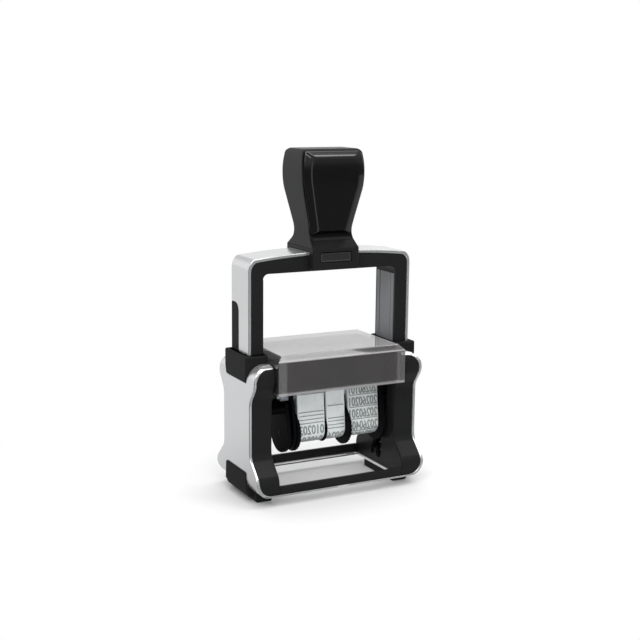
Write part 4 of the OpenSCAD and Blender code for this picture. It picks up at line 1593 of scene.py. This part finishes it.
class STAMP_OT_studio(bpy.types.Operator):
    """Sets the floor, the soft lights, the white surroundings and the camera"""
    bl_idname = "stamp.studio"
    bl_label = "Studio"

    # Each light's name, place, size and power, in metres and watts, and the point that all aim at
    LAMPS = (
        ("key", (-0.55, -0.45, 0.7), 0.5, 2.2),
        ("top", (0.05, 0.1, 0.85), 0.7, 4.0),
        ("right", (0.75, 0.1, 0.45), 0.5, 1.0),
        ("fill", (-0.25, -0.75, 0.85), 0.5, 2.8),
        ("glint", (0.41, -0.34, 0.87), 0.28, 1.2))
    AIM = Vector((0, 0, 0.06))

    # Half width and half depth of the stamp's footprint, and where the floor fades to white outside it
    FOOTPRINT = (0.036, 0.016)
    FADE = (0.02, 0.13)

    def execute(self, context):
        stamp = context.scene.stamp
        context.scene.view_settings.view_transform = "Standard"
        self.floor(stamp.colours)
        for lamp in self.LAMPS:
            self.lamp(*lamp)
        self.surroundings(context.scene)
        self.camera(context.scene, stamp.camera)
        return {"FINISHED"}

    def floor(self, c):
        """A floor with the stamp's shadow that fades to white, and is lit in strips for mirrors."""
        floor = add("studio_floor", bpy.ops.mesh.primitive_plane_add, size=6)
        f = material("studio_floor")
        camera, sharp = f.rays()
        x, y, _ = f.axes(f.place())
        away_x, away_y = [(abs(way) - half).at_least(0) for way, half in zip((x, y), self.FOOTPRINT)]
        far = f.ramp((away_x ** 2 + away_y ** 2) ** 0.5, *self.FADE)
        ahead = self.ahead(x, y)
        strip = self.strip(f, ahead)
        right = f.ramp(ahead, 0.7, 1.2)
        behind = self.behind(f, x, y, -0.12, 0.05)
        mirror = 0.1 + 0.72 * behind.at_least(strip * 1.25).at_least(right * 0.6)
        matt = f.node("ShaderNodeBsdfDiffuse", None, {"Color": shade(c.floor)})
        glow = f.node("ShaderNodeEmission", None, {"Color": camera + sharp * mirror, "Strength": 1.0})
        share = camera * (0.02 + 0.98 * far) + sharp * 0.95
        floor.data.materials.append(f.layers(share, matt, glow))

    def ahead(self, x, y):
        """How far to the right a place in front lies, as a share of how far in front it is."""
        return x / (0 - y).at_least(0.03)

    def strip(self, f, ahead):
        """A bright strip nearly straight ahead."""
        return f.ramp(ahead, -0.02, 0.04) - f.ramp(ahead, 0.16, 0.24)

    def behind(self, f, x, y, low, high):
        """What lies behind the stamp, with the left side drawn back."""
        return f.ramp(y - 0.7 * (0 - x).at_least(0), low, high)

    def lamp(self, name, where, size, power):
        """A soft square light aimed at the middle of the stamp."""
        lamp = add(f"studio_{name}", bpy.ops.object.light_add, type="AREA", location=where)
        lamp.data.size = size
        lamp.data.energy = power
        lamp.rotation_euler = (self.AIM - Vector(where)).to_track_quat("-Z", "Y").to_euler()

    def surroundings(self, scene):
        """White for the camera, grey for soft light, and a bright back, sky and strip for mirrors."""
        f = Finish(bpy.data.worlds.new("studio_world"))
        scene.world = f.owner
        x, y, z = f.axes(f.node("ShaderNodeTexCoord", output="Generated"))
        camera, sharp = f.rays()
        back = self.behind(f, x, y, -0.3, 0.3) * (1 - 0.5 * f.ramp(z, 0.22, 0.4))
        above = f.ramp(z, 0.4, 0.85) * f.ramp(y, -0.6, 0)
        strip = self.strip(f, self.ahead(x, y)) * (1 - f.ramp(z, 0.25, 0.5))
        rise = 0.45 * f.ramp(z, 0.05, 0.45)
        mirror = 0.12 + 0.88 * back.at_least(above).at_least(strip).at_least(rise)
        level = camera + sharp * mirror + (1 - camera - sharp) * 0.62
        sky = f.node("ShaderNodeBackground", None, {"Color": level, "Strength": 1.0})
        f.node("ShaderNodeOutputWorld", None, {"Surface": sky})

    def camera(self, scene, view):
        """The photograph's camera."""
        camera = add("photo_camera", bpy.ops.object.camera_add, location=view.place)
        camera.data.sensor_width = 36
        camera.data.lens = view.lens
        camera.data.clip_start = 0.01
        turn = (Matrix.Rotation(-view.heading, 3, "Z")
                @ Matrix.Rotation(math.pi / 2 - view.dip, 3, "X")
                @ Matrix.Rotation(view.roll, 3, "Z"))
        camera.rotation_euler = turn.to_euler()
        scene.camera = camera


STEPS = (
    STAMP_OT_finishes, STAMP_OT_base_shell, STAMP_OT_side_frames, STAMP_OT_sills, STAMP_OT_collars,
    STAMP_OT_feet, STAMP_OT_springs, STAMP_OT_bow_skin, STAMP_OT_bow_frame, STAMP_OT_saddle,
    STAMP_OT_grip, STAMP_OT_pins, STAMP_OT_cheeks, STAMP_OT_bridge, STAMP_OT_wheels, STAMP_OT_bands,
    STAMP_OT_cover, STAMP_OT_card, STAMP_OT_ink_pad, STAMP_OT_studio)


class STAMP_PT_panel(bpy.types.Panel):
    """Lists the settings and the steps of the date stamp"""
    bl_idname = "STAMP_PT_panel"
    bl_label = "Date stamp"
    bl_space_type = "VIEW_3D"
    bl_region_type = "UI"
    bl_category = "Date stamp"

    def draw(self, context):
        stamp = context.scene.stamp
        for group in ("base", "bow", "grip", "carriage", "cartridge", "colours", "camera"):
            box = self.layout.box()
            box.label(text=group.capitalize())
            settings = getattr(stamp, group)
            for name in settings.__annotations__:
                box.prop(settings, name)
        self.layout.prop(stamp, "rim_grooves")
        self.layout.prop(stamp, "spring_turns")
        for step in STEPS:
            self.layout.operator(step.bl_idname)


CLASSES = (
    StampBase, StampBow, StampGrip, StampCarriage, StampCartridge, StampColours, StampCamera,
    StampSettings, *STEPS, STAMP_PT_panel)


def register():
    for cls in CLASSES:
        bpy.utils.register_class(cls)
    bpy.types.Scene.stamp = PointerProperty(type=StampSettings)


def unregister():
    del bpy.types.Scene.stamp
    for cls in reversed(CLASSES):
        bpy.utils.unregister_class(cls)


def main():
    register()
    for step in STEPS:
        group, name = step.bl_idname.split(".")
        getattr(getattr(bpy.ops, group), name)()


if __name__ == "__main__":
    main()
